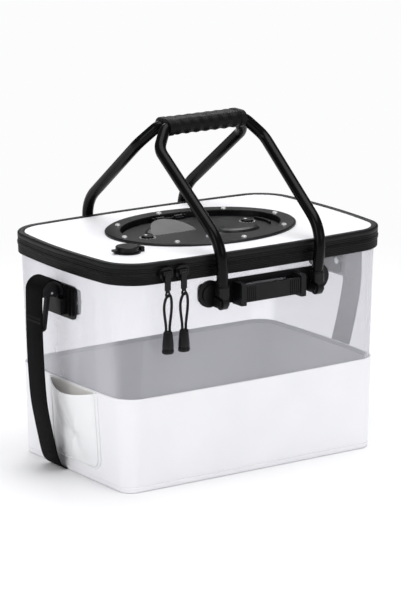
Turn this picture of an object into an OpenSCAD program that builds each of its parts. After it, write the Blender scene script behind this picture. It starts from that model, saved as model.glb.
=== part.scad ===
// Collapsible live-bait bucket with an aerator port: a white lower tub, a clear upper wall,
// a zipped lid with an oval hatch, two tube bails with a shared grip, lift bars and a shoulder strap.
// Millimetres. The origin is the middle of the foot on the floor, +X along the long front,
// +Y to the back and +Z up.

/* [Tub] */
// Length of the tub at its foot, along X
foot_l = 380.6; // [340:1:440]
// Depth of the tub at its foot, along Y
foot_d = 244; // [220:1:280]
// Height of the lid's white face
tub_h = 292; // [270:1:320]
// How far each side leans out between the foot and the lid
flare = 9.7; // [4:0.1:14]
// Corner radius at the foot
foot_r = 18; // [12:1:30]
// Corner radius at the lid
rim_r = 38; // [30:1:45]
// Bulge of the short sides at the lid
side_bow = 11.4; // [4:0.1:14]
// Bulge of the long sides at the lid
front_bow = 8; // [3:0.1:10]
// Height of the white lower tub
white_h = 121; // [90:1:140]
// Wall of the white lower tub
tub_wall = 1.8; // [1.4:0.1:2.2]
// Floor of the tub
floor_t = 4; // [3.6:0.1:6]
// Height of the welded seam round the foot
foot_seam_h = 7; // [5:0.5:10]
// Thickness of the clear wall
clear_wall_t = 1.2; // [0.8:0.1:1.6]
// How far the clear wall laps inside the white wall
clear_lap = 5; // [3:0.5:10]

/* [Zip and lid] */
// Height of the lid's face above the zip line
zip_drop = 13; // [11:0.5:16]
// Depth of the lower zip band
low_band_h = 13.2; // [10:0.1:16]
// How far the zip bands stand proud of the tub
band_proud = 2.2; // [1.6:0.1:3]
// Height of one row of teeth
teeth_h = 1.65; // [1.2:0.05:2.2]
// How far the teeth stand proud of the bands
teeth_proud = 1; // [0.6:0.1:1.4]
// Width of the rear hinge tape, where the zip stops
hinge_tape_w = 220; // [160:1:260]
// Thickness of the lid panel
lid_t = 3.8; // [3:0.1:4.4]
// Width of the black piping seen on the lid
piping_w = 6.5; // [5:0.1:9]
// How far the piping stands above the lid panel
piping_rise = 1; // [0.5:0.1:1.6]
// Stiffening hoop in the rim: height
hoop_h = 8; // [6:0.5:10]
// Stiffening hoop in the rim: thickness
hoop_t = 4; // [3:0.5:6]

/* [Hatch] */
// Hatch centre from the middle of the lid, along X
hatch_x = 3; // [-2:1:6]
// Hatch centre from the middle of the lid, along Y
hatch_y = -1; // [-4:1:4]
// Half length of the hatch flange
hatch_a = 131; // [128:1:133]
// Half width of the hatch flange
hatch_b = 99; // [96:1:101]
// Width of the hatch flange
flange_w = 20; // [18:1:22]
// Thickness of the hatch flange
flange_t = 3.4; // [3:0.1:4]
// Depth of the hatch recess below the lid
recess_d = 7.5; // [7:0.1:9]
// Width of the ledge that carries the hatch door
ledge_w = 7; // [6:0.5:8]
// Thickness of the hatch door
door_t = 3; // [2.4:0.1:3.4]

/* [Bails] */
// Middle of the bails along X
bail_x = 4.5; // [2:0.5:7]
// Half the distance between a bail's legs
leg_half = 72; // [70:0.5:75]
// How much further out the legs stand at their widest
leg_spread = 8; // [6:0.5:10]
// Height of the bracket's middle above the pivots
pivot_drop = 10; // [8:0.5:12]
// Distance of the pivots from the front of the bracket plate
pivot_reach = 11.7; // [11.2:0.1:14]
// How far the elbow in the legs stands out from the pivots
elbow_out = 4; // [2:0.5:5]
// Height of the elbow in the legs above the pivots
elbow_rise = 73; // [70:1:80]
// Height of the grip's middle above the pivots
grip_rise = 195; // [188:1:205]
// Outer diameter of the bail tube
tube_d = 14.5; // [12:0.1:15]
// Wall of the bail tube
tube_wall = 1.2; // [0.8:0.1:1.6]
// Length of the grip
grip_l = 118; // [105:1:122]
// Pivot pin diameter
pin_d = 5; // [4:0.1:5.6]

/* [Brackets] */
// Thickness of a bracket plate
plate_t = 3.2; // [2.6:0.1:4]
// How far the plate's round ends lie outside the legs
disc_offset = 10; // [8:0.5:11]
// Radius of the plate's round ends
disc_r = 17; // [15:0.5:18]
// Height of the zip line above the plate's middle
disc_drop = 35.5; // [34:0.5:37]
// Height of the middle part of the plate
plate_h = 30; // [28:0.5:32]
// Height of the backing plate inside the wall
backing_h = 24; // [20:0.5:28]
// Half length of the lift bar
bar_half = 49; // [46:0.5:51]
// Height of the lift bar
bar_h = 20.8; // [18:0.1:22]
// How far the lift bar's middle lies below the plate's middle
bar_drop = 2.2; // [1:0.1:4]
// How far the lift bar's face stands out from the plate
bar_reach = 19; // [17:0.5:21]

/* [Strap and clips] */
// Width of the webbing
strap_w = 38; // [34:1:40]
// Thickness of the webbing
strap_t = 1.6; // [1.2:0.1:2]
// Where the strap passes under the tub, along Y
strap_y = 34; // [28:1:40]
// Half width of a clip plate
clip_half = 36; // [34:1:40]
// Height of a clip plate
clip_h = 42; // [39:1:45]
// Height of the zip line above a clip plate
clip_drop = 30; // [27:1:33]

/* [Pocket] */
// Front edge of the pocket along Y
pocket_y0 = -68; // [-76:1:-60]
// Rear edge of the pocket along Y
pocket_y1 = 40; // [32:1:46]
// Foot of the pocket
pocket_z0 = 17; // [14:1:24]
// How far the pocket's corners end below the top of the white wall
pocket_drop = 2; // [0:0.5:12]
// How far the pocket's mouth hangs open
pocket_depth = 15; // [10:0.5:17]
// Width of the pocket's border
border_w = 8; // [6:0.5:10]

/* [Zip pulls] */
// Place of the left slider along X
left_slider_x = -144; // [-150:1:-142]
// Place of the right slider along X
right_slider_x = -121; // [-122:1:-114]
// Width of a slider
slider_w = 19; // [15:0.5:20]
// Length of a pull tab
tab_l = 27; // [22:0.5:32]
// Diameter of the pull cord
cord_d = 3.4; // [2.6:0.1:4]
// Length of the cord loop
loop_l = 46; // [40:1:52]
// Length of the moulded cord end
cord_end_l = 28; // [22:1:32]

/* [Aerator port] */
// Port centre along X
port_x = -152; // [-155:1:-149]
// Port centre along Y
port_y = -67; // [-71:1:-63]
// Diameter of the cap
cap_d = 29; // [26:0.5:30]
// Bore of the port for an air hose
port_bore_d = 8; // [6:0.5:10]

/* [Hidden] */

$fn = 48;
white = "#f4f5f7";
clear = [0.85, 0.9, 0.94, 0.35];
black = "#1b1b1d";
webbing = "#101012";
steel = "#b9bcc0";
grey = "#b4b6ba";

running = 0.3;      // gap between pieces of different bodies
pin_gap = 0.05;     // radial gap round a pivot pin
seat = 0.1;         // gap between soft sheets in one body
nudge = 0.5;        // how far a cut runs past a face

// ---------- places that follow the lid, the white wall and the legs ----------
zip_z = tub_h - zip_drop;
disc_z = zip_z - disc_drop;
pivot_z = disc_z - pivot_drop;
elbow_z = pivot_z + elbow_rise;
grip_z = pivot_z + grip_rise;
clip_z1 = zip_z - clip_drop;
clip_z0 = clip_z1 - clip_h;
pocket_z1 = white_h - pocket_drop;
leg_half_wide = leg_half + leg_spread;
disc_half = leg_half + disc_offset;

// ---------- outline of the tub ----------
side_n = 5;
corner_n = 6;

function share(z) = z / tub_h;
function half_x(z) = foot_l / 2 + flare * share(z);
function half_y(z) = foot_d / 2 + flare * share(z);
function corner_r(z) = foot_r + (rim_r - foot_r) * share(z);
foot_bow = 0.4;
function bow(z, at_lid) = foot_bow + (at_lid - foot_bow) * share(z);

// how far the wall lies from the middle at a place on it, with an offset outwards
function wall_x(y, z, out = 0) =
    half_x(z) + out + bow(z, side_bow) * (1 - pow(y / (half_y(z) + out), 2));
function wall_y(x, z, out = 0) =
    half_y(z) + out + bow(z, front_bow) * (1 - pow(x / (half_x(z) + out), 2));

function quarter(hx, hy, r) = [
    for (k = [0:side_n - 1]) [hx, (hy - r) * k / side_n],
    for (k = [0:corner_n]) [hx - r + r * cos(90 * k / corner_n), hy - r + r * sin(90 * k / corner_n)],
    for (k = [1:side_n - 1]) [(hx - r) * (1 - k / side_n), hy]
];
function half_round(hx, hy, r) = let (q = quarter(hx, hy, r)) concat(
    q, [[0, hy]], [for (k = [len(q) - 1:-1:1]) [-q[k][0], q[k][1]]]
);
function bowed(p, hx, hy, bx, by) = [
    p[0] + bx * p[0] / hx * (1 - pow(p[1] / hy, 2)),
    p[1] + by * p[1] / hy * (1 - pow(p[0] / hx, 2))
];
function outline(z, out) = let (
    hx = half_x(z) + out,
    hy = half_y(z) + out,
    h = half_round(hx, hy, corner_r(z) + out),
    whole = concat(h, [for (p = h) -p])
) [for (p = whole) bowed(p, hx, hy, bow(z, side_bow), bow(z, front_bow))];
function ring(z, out) = [for (p = outline(z, out)) [p[0], p[1], z]];
function oval(z, a, b, cx, cy, n = 64) = [
    for (i = [0:n - 1]) [cx + a * cos(360 * i / n), cy + b * sin(360 * i / n), z]
];

// an oval concentric with the hatch opening, larger than it by an offset
function hatch_oval(z, out) = oval(z, inner_a + out, inner_b + out, hatch_x, hatch_y);

// a solid through rings of points that run anticlockwise, from the lowest to the highest
module loft(rings) {
    n = len(rings[0]);
    m = len(rings);
    polyhedron(
        points = [for (r = rings) each r],
        faces = concat(
            [[for (i = [0:n - 1]) i]],
            [[for (i = [n - 1:-1:0]) (m - 1) * n + i]],
            [for (k = [0:m - 2], i = [0:n - 1]) [k * n + i, (k + 1) * n + i, (k + 1) * n + (i + 1) % n]],
            [for (k = [0:m - 2], i = [0:n - 1]) [k * n + i, (k + 1) * n + (i + 1) % n, k * n + (i + 1) % n]]
        )
    );
}

// a band that follows the tub between two offsets
module tub_band(z0, z1, inner, outer) {
    difference() {
        loft([ring(z0, outer), ring(z1, outer)]);
        loft([ring(z0 - nudge, inner), ring(z1 + nudge, inner)]);
    }
}

// ---------- sweeping ----------
function unit(v) = v / norm(v);
function bend(a, b, c, t, n = 6) = let (u = unit(a - b), w = unit(c - b)) [
    for (k = [0:n]) let (s = k / n) (b + u * t) * pow(1 - s, 2) + b * 2 * s * (1 - s) + (b + w * t) * s * s
];
// corner points become smooth bends whose legs have the given lengths
function smooth(p, t) = concat(
    [p[0]],
    [for (i = [1:len(p) - 2]) each bend(p[i - 1], p[i], p[i + 1], t[i - 1])],
    [p[len(p) - 1]]
);
function along(p, i) = unit(p[min(i + 1, len(p) - 1)] - p[max(i - 1, 0)]);

// a round tube along points, whose rings are set out from one steady side direction
module tube_along(p, d, side, sides = 12) {
    loft([
        for (i = [0:len(p) - 1])
            let (t = along(p, i), u = unit(side - t * (side * t)), w = cross(t, u))
            [for (k = [0:sides - 1]) p[i] + (u * cos(360 * k / sides) + w * sin(360 * k / sides)) * d / 2]
    ]);
}

// a hollow tube along points, open at both ends
module pipe_along(p, d, wall, side, sides) {
    m = len(p);
    sweep = function (r) [
        for (i = [0:m - 1])
            let (t = along(p, i), u = unit(side - t * (side * t)), w = cross(t, u))
            [for (k = [0:sides - 1]) p[i] + (u * cos(360 * k / sides) + w * sin(360 * k / sides)) * r]
    ];
    inner = sweep(d / 2 - wall);
    rings = concat(sweep(d / 2), [for (i = [m - 1:-1:0]) inner[i]]);
    polyhedron(
        points = [for (r = rings) each r],
        faces = [
            for (k = [0:2 * m - 1], i = [0:sides - 1])
                let (a = k * sides, b = (k + 1) % (2 * m) * sides, j = (i + 1) % sides)
                each [[a + i, b + i, b + j], [a + i, b + j, a + j]]
        ]
    );
}

// flat webbing along points, its width along Y
module webbing_along(p, w, t) {
    loft([
        for (i = [0:len(p) - 1])
            let (d = along(p, i), n = unit(cross(d, [0, 1, 0])))
            [
                p[i] + [0, w / 2, 0] + n * t / 2,
                p[i] + [0, w / 2, 0] - n * t / 2,
                p[i] - [0, w / 2, 0] - n * t / 2,
                p[i] - [0, w / 2, 0] + n * t / 2
            ]
    ]);
}

module at_rear() {
    mirror([0, 1, 0]) children();
}
module at_left() {
    mirror([1, 0, 0]) children();
}
// a cylinder along Y from one depth to another
module rod_y(r, y0, y1) {
    translate([0, y0, 0]) rotate([-90, 0, 0]) cylinder(r = r, h = y1 - y0);
}
// a cylinder along X
module rod_x(r, x0, x1) {
    translate([x0, 0, 0]) rotate([0, 90, 0]) cylinder(r = r, h = x1 - x0);
}
module rounded_bar(l, w, r) {
    hull() {
        for (x = [-1, 1], y = [-1, 1]) translate([x * (l / 2 - r), y * (w / 2 - r)]) circle(r = r, $fn = 32);
    }
}

// ---------- tub ----------
clear_out = -tub_wall - seat;
clear_in = clear_out - clear_wall_t;
strap_gap = 0.3;
strap_channel_h = strap_t + 3 * strap_gap;

module lower_tub() {
    groove = 0.6;
    color(white) difference() {
        loft([
            ring(0, -2), ring(1.6, -0.3), ring(3, 0), ring(foot_seam_h - 0.5, 0), ring(foot_seam_h, -groove),
            ring(foot_seam_h + 0.8, -groove), ring(foot_seam_h + 1.4, 0), ring(white_h, 0)
        ]);
        loft([ring(floor_t, -tub_wall), ring(white_h + nudge, -tub_wall)]);
        translate([-foot_l, strap_y - strap_w / 2 - 2 * strap_gap, -nudge])
            cube([2 * foot_l, strap_w + 4 * strap_gap, strap_channel_h + nudge]);
    }
}

low_band_z = zip_z - low_band_h;
split = running / 2;
low_teeth_z = zip_z - split - teeth_h;
high_teeth_z = zip_z + split;
wall_top = low_teeth_z - 1;

module clear_wall() {
    color(clear) difference() {
        tub_band(white_h - clear_lap, wall_top, clear_in, clear_out);
        for (s = [-1, 1]) scale([1, s, 1]) bracket_screw_places() rod_y(screw_r + 0.4, -foot_d, -foot_d / 4);
        for (s = [-1, 1]) scale([s, 1, 1]) clip_screw_places() rod_x(screw_r + 0.4, foot_l / 4, foot_l);
    }
}

module rim_hoop() {
    hoop_out = clear_in - seat;
    color(black) tub_band(wall_top - hoop_h, wall_top, hoop_out - hoop_t, hoop_out);
}

// an upright band that follows the tub's outline at the zip line
module zip_slab(z0, z1, outer) {
    translate([0, 0, z0]) linear_extrude(z1 - z0) difference() {
        polygon(outline(zip_z, outer));
        polygon(outline(zip_z, clear_out + seat));
    }
}

module lower_zip_band() {
    color(black) zip_slab(low_band_z, low_teeth_z, band_proud);
}

module zip_teeth(z) {
    color(black) difference() {
        zip_slab(z, z + teeth_h, band_proud + teeth_proud);
        translate([-hinge_tape_w / 2, half_y(0) - rim_r, 0]) cube([hinge_tape_w, foot_d, 2 * tub_h]);
    }
}

module lower_zip_teeth() {
    zip_teeth(low_teeth_z);
}

tape_t = 0.8;
hinge_gap = 0.3;
hinge_y = wall_y(0, zip_z, band_proud) + tape_t + hinge_gap;

// the soft hinge is a sheet behind the bands, parted at the fold line
module hinge_tape(z0, z1) {
    w = hinge_tape_w - 2 * seat;
    n = 12;
    y_at = function (x, out) wall_y(x, zip_z, out);
    front = [for (i = [0:n]) let (x = w / 2 - w * i / n) [x, y_at(x, band_proud + seat)]];
    back = [for (i = [0:n]) let (x = -w / 2 + w * i / n) [x, y_at(x, band_proud + seat + tape_t)]];
    color(black) translate([0, 0, z0]) linear_extrude(z1 - z0) polygon(concat(back, front));
}
module lower_hinge_tape() {
    hinge_tape(low_teeth_z - 6, zip_z - split);
}

// ---------- pocket on the left wall ----------
function on_wall(y, z, out) = [-wall_x(y, z, out), y, z];
border_t = 1.2;
sheet_t = 1.2;
pocket_corner = 14;

function border_path() = let (
    h = border_w / 2,
    y0 = pocket_y0 + h,
    y1 = pocket_y1 - h,
    z0 = pocket_z0 + h,
    r = pocket_corner
) concat(
    [for (k = [0:4]) [y0, pocket_z1 - (pocket_z1 - z0 - r) * k / 4]],
    [for (k = [1:5]) [y0 + r - r * cos(90 * k / 5), z0 + r - r * sin(90 * k / 5)]],
    [for (k = [1:4]) [y0 + r + (y1 - y0 - 2 * r) * k / 4, z0]],
    [for (k = [1:5]) [y1 - r + r * sin(90 * k / 5), z0 + r - r * cos(90 * k / 5)]],
    [for (k = [1:4]) [y1, z0 + r + (pocket_z1 - z0 - r) * k / 4]]
);

module pocket_border() {
    p = border_path();
    h = border_w / 2;
    last = len(p) - 1;
    color(white) loft([
        for (i = [0:last])
            let (
                t = unit(p[min(i + 1, last)] - p[max(i - 1, 0)]),
                m = [-t[1], t[0]],
                a = p[i] + m * h,
                b = p[i] - m * h
            )
            [
                on_wall(a[0], a[1], seat), on_wall(b[0], b[1], seat),
                on_wall(b[0], b[1], seat + border_t), on_wall(a[0], a[1], seat + border_t)
            ]
    ]);
}

// how far the pocket sheet hangs out, with its slack fold; u runs back, v runs up, both 0 to 1
function sheet_out(u, v) = let (
    belly = pow(sin(180 * u), 0.8) * pow(v, 0.85) * pocket_depth,
    fold = 2.2 * exp(-pow((u - 0.32 - 0.35 * v) / 0.1, 2)) * sin(180 * min(v * 1.15, 1)),
    crease = 1.4 * exp(-pow((v - 0.3 - 0.25 * u) / 0.09, 2)) * sin(180 * u)
) max(0, belly - fold - crease);
pocket_nu = 18;
pocket_nv = 12;
mouth_dip = 7;

module pump_pocket() {
    inset = border_w * 0.55;
    y0 = pocket_y0 + inset;
    y1 = pocket_y1 - inset;
    z0 = pocket_z0 + inset;
    base = seat + border_t + seat;
    r = pocket_corner - inset / 2;
    place = function (i, j, extra) let (
        u = i / pocket_nu,
        y = y0 + (y1 - y0) * u,
        e = min(y - y0, y1 - y),
        low = z0 + (e < r ? r - sqrt(max(0, r * r - pow(r - e, 2))) : 0),
        top = pocket_z1 - 1 - mouth_dip * sin(180 * u),
        v = j / pocket_nv,
        z = low + (top - low) * v
    ) on_wall(y, z, base + sheet_out(u, v) + extra);
    color(white) loft([
        for (i = [0:pocket_nu]) concat(
            [for (j = [0:pocket_nv]) place(i, j, sheet_t)],
            [for (j = [pocket_nv:-1:0]) place(i, j, 0)]
        )
    ]);
}

// ---------- brackets ----------
plate_back = wall_y(0, disc_z + disc_r, clear_out) + 0.05;
plate_front = plate_back + plate_t;
pivot_y = plate_front + pivot_reach;
backing_front = wall_y(disc_half + disc_r, disc_z - disc_r, clear_in) - 0.1;
backing_t = 2.5;
ear_r = 6;
ear_t = 2.5;
barrel_r = 8.7;
barrel_w = 8;
ear_gap = 0.35;
pin_head_t = 0.6;
screw_r = 2;
screw_head_r = 4;
screw_head_t = 1.8;
cap_rise = 1.8;
post_w = 7.5;
post_dx = bar_half - post_w / 2;
window_half = 35;
strip_half = post_dx - post_w / 2 - seat;
strip_z0 = disc_z + 7;
strip_z1 = disc_z + 14.5;

// places of the screws that hold a bracket to the front wall
module bracket_screw_places() {
    for (dx = [-disc_half - 4, -post_dx, post_dx, disc_half + 4])
        translate([bail_x + dx, 0, abs(dx) < disc_half ? disc_z + 8 : disc_z]) children();
}

module front_bracket() {
    ear_y = -pivot_y;
    color(black) difference() {
        union() {
            translate([bail_x, -plate_back, 0]) rotate([90, 0, 0]) linear_extrude(plate_t) difference() {
                union() {
                    for (s = [-1, 1]) translate([s * disc_half, disc_z]) circle(r = disc_r);
                    translate([-disc_half, disc_z - plate_h / 2]) square([2 * disc_half, plate_h]);
                }
                translate([-window_half, disc_z - disc_r - 1])
                    square([2 * window_half, strip_z0 - disc_z + disc_r + 1]);
            }
            // raised cap on each round end
            for (s = [-1, 1]) translate([bail_x + s * disc_half, 0, disc_z])
                rod_y(disc_r - 5.5, -plate_front - cap_rise, -plate_front + 1);
            // ribbed top strip
            translate([bail_x - strip_half, -plate_front - 1.2, strip_z0 + 1])
                cube([2 * strip_half, 2, strip_z1 - strip_z0 - 2]);
            // two ears at each pivot
            for (s = [-1, 1], e = [-1, 1])
                translate([
                    bail_x + s * leg_half + e * (barrel_w / 2 + ear_gap + ear_t / 2) - ear_t / 2, 0, pivot_z
                ]) {
                    translate([0, ear_y, 0]) rod_x(ear_r, 0, ear_t);
                    translate([0, ear_y, -ear_r]) cube([ear_t, pivot_reach + 1, 2 * ear_r]);
                }
        }
        for (s = [-1, 1]) translate([bail_x + s * leg_half, ear_y, pivot_z])
            rod_x(pin_d / 2 + pin_gap, -2 * barrel_w, 2 * barrel_w);
        bracket_screw_places() rod_y(screw_r + 0.05, -plate_back - plate_t + 0.6, -plate_back + 1);
    }
}
module rear_bracket() {
    at_rear() front_bracket();
}

module front_backing_plate() {
    color(black) difference() {
        translate([bail_x, -backing_front, disc_z]) rotate([-90, 0, 0]) linear_extrude(backing_t)
            rounded_bar(2 * (disc_half + backing_h / 2), backing_h, 6);
        bracket_screw_places() rod_y(screw_r + 0.2, -plate_back, 0);
    }
}
module rear_backing_plate() {
    at_rear() front_backing_plate();
}

module front_lift_bar() {
    post_h = bar_h + 7.2;
    face = plate_front + bar_reach;
    mid = disc_z - bar_drop;
    rib_w = 1.4;
    color(black) union() {
        difference() {
            for (s = [-1, 1]) translate([bail_x + s * post_dx - post_w / 2, -face - 1.5, mid - post_h / 2])
                cube([post_w, bar_reach + 1.5, post_h]);
            for (s = [-1, 1]) translate([bail_x + s * post_dx, -face - 1.5, mid + post_h / 2])
                rotate([45, 0, 0]) cube([post_w + 1, 3, 3], center = true);
        }
        translate([bail_x - post_dx, -face, mid - bar_h / 2]) cube([2 * post_dx, 4.5, bar_h]);
        for (s = [-1, 1], k = [0:4])
            translate([bail_x + s * (post_dx - post_w / 2 - 3 - 3 * k), -face + 0.05, mid])
                cube([rib_w, 1.5, bar_h - 3], center = true);
    }
}
module rear_lift_bar() {
    at_rear() front_lift_bar();
}

module bail_pivot_pins() {
    reach = barrel_w / 2 + ear_gap + ear_t;
    color(black) for (s = [-1, 1], t = [-1, 1]) translate([bail_x + s * leg_half, t * pivot_y, pivot_z]) {
        rod_x(pin_d / 2, -reach, reach);
        for (e = [-1, 1]) translate([e * (reach + pin_head_t / 2), 0, 0])
            rod_x(pin_d / 2 + 1, -pin_head_t / 2, pin_head_t / 2);
    }
}

module wall_screws() {
    color(steel) {
        for (s = [-1, 1]) scale([1, s, 1]) bracket_screw_places() {
            rod_y(screw_r, -plate_back - plate_t + 0.8, -backing_front + backing_t + 0.1);
            rod_y(screw_head_r, -backing_front + backing_t, -backing_front + backing_t + screw_head_t);
        }
        for (s = [-1, 1]) scale([s, 1, 1]) clip_screw_places() {
            rod_x(screw_r, clip_backing_out - backing_t - 0.1, clip_back + clip_t - 0.8);
            rod_x(screw_head_r, clip_backing_out - backing_t - screw_head_t, clip_backing_out - backing_t);
        }
    }
}

// ---------- strap clips, drawn on the right side ----------
clip_t = 3;
clip_back = wall_x(0, clip_z1, clear_out) + 0.05;
clip_front = clip_back + clip_t;
clip_backing_out = wall_x(clip_half, clip_z0, clear_in) - 0.1;
clip_mid = (clip_z0 + clip_z1) / 2;
saddle_r = 14.8;
saddle_x = clip_front + 20.6;
saddle_z = clip_z1 - 7.5;
strap_drop_x = saddle_x + saddle_r + strap_gap + strap_t / 2;
strap_rise_x = saddle_x - saddle_r - strap_gap - strap_t / 2;
hook_w = strap_w - 1;
web_t = 3;
web_y = 10.5;
lever_w = 7;
lever_y = -2;
lever_pin_r = 1.5;
lever_x = saddle_x - 3;
lever_z = saddle_z - 2;
hook_block_x = strap_rise_x + strap_t / 2 + 4.5;

module clip_screw_places() {
    for (s = [-1, 1]) translate([0, s * (clip_half - 7), clip_mid]) children();
}

module right_clip_plate() {
    color(black) difference() {
        union() {
            translate([clip_back, 0, clip_mid]) rotate([90, 0, 90]) linear_extrude(clip_t)
                rounded_bar(2 * clip_half, clip_z1 - clip_z0, 6);
            for (s = [-1, 1]) {
                translate([clip_front - 0.5, s * (clip_half - 4.5) - 1.2, clip_z0 + 5])
                    cube([2.5, 2.4, clip_z1 - clip_z0 - 10]);
                translate([clip_front - 0.5, s * (clip_half - 11) - 2, clip_z0 + 4])
                    cube([3.5, 4, clip_z1 - clip_z0 - 8]);
            }
        }
        clip_screw_places() rod_x(screw_r + 0.05, clip_back - 1, clip_back + clip_t - 0.6);
    }
}
module left_clip_plate() {
    at_left() right_clip_plate();
}

module right_clip_backing() {
    color(black) difference() {
        translate([clip_backing_out - backing_t, 0, clip_mid]) rotate([90, 0, 90])
            linear_extrude(backing_t) rounded_bar(2 * clip_half - 4, clip_z1 - clip_z0 - 10, 5);
        clip_screw_places() rod_x(screw_r + 0.2, 0, clip_back);
    }
}
module left_clip_backing() {
    at_left() right_clip_backing();
}

module right_strap_hook() {
    web_x0 = strap_rise_x + strap_t / 2 + strap_gap;
    color(black) difference() {
        union() {
            // back plate and the block that carries the webs
            translate([clip_front, -hook_w / 2 - 1, clip_z0 + 5])
                cube([web_x0 - strap_t - 2 * strap_gap - clip_front, hook_w + 2, clip_z1 - clip_z0 - 4]);
            translate([clip_front, -hook_w / 2, clip_z0 + 5])
                cube([hook_block_x - clip_front, hook_w, saddle_z - clip_z0 - 14]);
            for (s = [-1, 1])
                translate([0, s * web_y + web_t / 2, 0]) rotate([90, 0, 0]) linear_extrude(web_t) {
                intersection() {
                    translate([saddle_x, saddle_z]) circle(r = saddle_r);
                    translate([web_x0, saddle_z - 6]) square([60, 40]);
                }
                translate([web_x0, clip_z0 + 5]) square([hook_block_x - web_x0, saddle_z - clip_z0 - 5]);
            }
            // half-round saddle that the webbing turns over
            translate([0, hook_w / 2, 0]) rotate([90, 0, 0]) linear_extrude(hook_w) intersection() {
                translate([saddle_x, saddle_z]) difference() {
                    circle(r = saddle_r);
                    circle(r = saddle_r - 3);
                }
                translate([web_x0, saddle_z - 4]) square([60, 40]);
            }
        }
        translate([lever_x, 0, lever_z]) rod_y(lever_pin_r + pin_gap, -web_y - web_t, web_y + web_t);
    }
}
module left_strap_hook() {
    at_left() right_strap_hook();
}

module lever_pins() {
    reach = web_y + web_t / 2;
    color(steel) for (s = [-1, 1]) translate([s * lever_x, 0, lever_z]) rod_y(lever_pin_r, -reach, reach);
}

module right_release_lever() {
    drop = 44;
    lean = 6;
    curl_r = 5;
    thick = 3.4;
    color(black) translate([lever_x, lever_y + lever_w / 2, lever_z])
        rotate([90, 0, 0]) linear_extrude(lever_w) difference() {
        union() {
            circle(r = 3.6);
            polygon([
                [-thick / 2, 0], [lean - thick / 2, -drop], [lean + thick / 2, -drop], [thick / 2 + 0.8, 0]
            ]);
            translate([lean - thick / 2 + curl_r, -drop]) intersection() {
                difference() {
                    circle(r = curl_r);
                    circle(r = curl_r - thick + 0.4);
                }
                translate([-curl_r, -curl_r]) square([2 * curl_r, curl_r + 0.6]);
            }
        }
        circle(r = lever_pin_r + pin_gap);
    }
}
module left_release_lever() {
    at_left() right_release_lever();
}

// ---------- strap, drawn on the right side ----------
strap_floor_z = strap_gap / 2 + strap_t / 2;
strap_edge_x = half_x(0) - 2;
// how the strap falls, in shares of its way in to the foot, of its way back and of the clip's height
strap_fall = [
    [0, 0, 0.966], [0.04, 0.06, 0.821], [0.13, 0.2, 0.628], [0.25, 0.35, 0.464],
    [0.42, 0.53, 0.319], [0.59, 0.7, 0.193], [0.73, 0.85, 0.106], [0.86, 0.97, 0.044]
];

module right_strap() {
    r = saddle_r + strap_gap + strap_t / 2;
    arc = [for (a = [180:-15:0]) [saddle_x + r * cos(a), 0, saddle_z + r * sin(a)]];
    lift_x = strap_edge_x + 5.5;
    way_in = strap_drop_x - lift_x;
    fall = [for (q = strap_fall) [strap_drop_x - way_in * q[0], strap_y * q[1], clip_z0 * q[2]]];
    foot = [[lift_x, strap_y - 0.5, strap_floor_z + 1.65], [strap_edge_x, strap_y, strap_floor_z]];
    color(webbing)
        webbing_along(concat([[strap_rise_x, 0, saddle_z - 7]], arc, fall, foot), strap_w, strap_t);
}
module left_strap() {
    at_left() right_strap();
}
module base_strap() {
    x = strap_edge_x - running;
    color(webbing) translate([-x, strap_y - strap_w / 2, strap_floor_z - strap_t / 2])
        cube([2 * x, strap_w, strap_t]);
}

// ---------- lid ----------
lid_low = tub_h - lid_t;
piping_low = lid_low - 2;
piping_top = tub_h + piping_rise;
piping_in = -piping_w;

module port_hole(r) {
    translate([port_x, port_y, lid_low - 20]) cylinder(r = r, h = 60);
}

module lid_panel() {
    color(white) difference() {
        loft([ring(lid_low, piping_in - seat), ring(tub_h, piping_in - seat)]);
        loft([
            hatch_oval(lid_low - nudge, collar_t + collar_gap),
            hatch_oval(tub_h + nudge, collar_t + collar_gap)
        ]);
        hatch_screw_places() translate([0, 0, lid_low - 1]) cylinder(r = 2, h = lid_t + 2, $fn = 16);
        port_hole(port_barrel_r + 0.3);
    }
}

module lid_piping() {
    ledge = 2.4;
    color(black) difference() {
        loft([
            ring(piping_low, band_proud - 0.5), ring(piping_low + 0.6, band_proud),
            ring(piping_top - 2.2, band_proud), ring(piping_top - 0.6, band_proud - 0.9),
            ring(piping_top, band_proud - 2.4), ring(piping_top + 0.01, piping_in + 0.6)
        ]);
        loft([ring(lid_low, piping_in), ring(piping_top + nudge, piping_in)]);
        loft([ring(piping_low - nudge, piping_in - ledge), ring(lid_low + nudge, piping_in - ledge)]);
    }
}

module upper_zip_band() {
    color(black) zip_slab(high_teeth_z + teeth_h, piping_low - seat, band_proud);
}

module upper_zip_teeth() {
    zip_teeth(high_teeth_z);
}
module upper_hinge_tape() {
    hinge_tape(zip_z + split, high_teeth_z + 7);
}

// ---------- hatch ----------
inner_a = hatch_a - flange_w;
inner_b = hatch_b - flange_w;
collar_t = 2.2;
collar_gap = 0.6;
ledge_z = tub_h - recess_d;
ledge_t = 2;
gasket_t = 0.8;
door_z = ledge_z + gasket_t + running;
door_gap = 0.6;
door_a = inner_a - door_gap;
door_b = inner_b - door_gap;
screw_ring_a = hatch_a - flange_w * 0.6;
screw_ring_b = hatch_b - flange_w * 0.6;
hatch_screw_n = 8;
hatch_screw_turn = 3;
door_pin_y = hatch_y + door_b - 5.1;
door_pin_z = door_z + 4.6;
door_pin_r = 1.5;
door_knuckle_r = 3.4;
door_hinge_w = 40;
ear_half_w = 2;
ear_half_d = 3.2;
ear_x = door_hinge_w / 2 + 4;
door_back = door_pin_y - ear_half_d - 2 * running;
door_relief = 2;    // the rear of the door keeps clear of the opening as it swings

module hatch_screw_places() {
    for (k = [0:hatch_screw_n - 1]) let (a = hatch_screw_turn + 360 * k / hatch_screw_n)
        translate([hatch_x + screw_ring_a * cos(a), hatch_y + screw_ring_b * sin(a), 0]) children();
}

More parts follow.
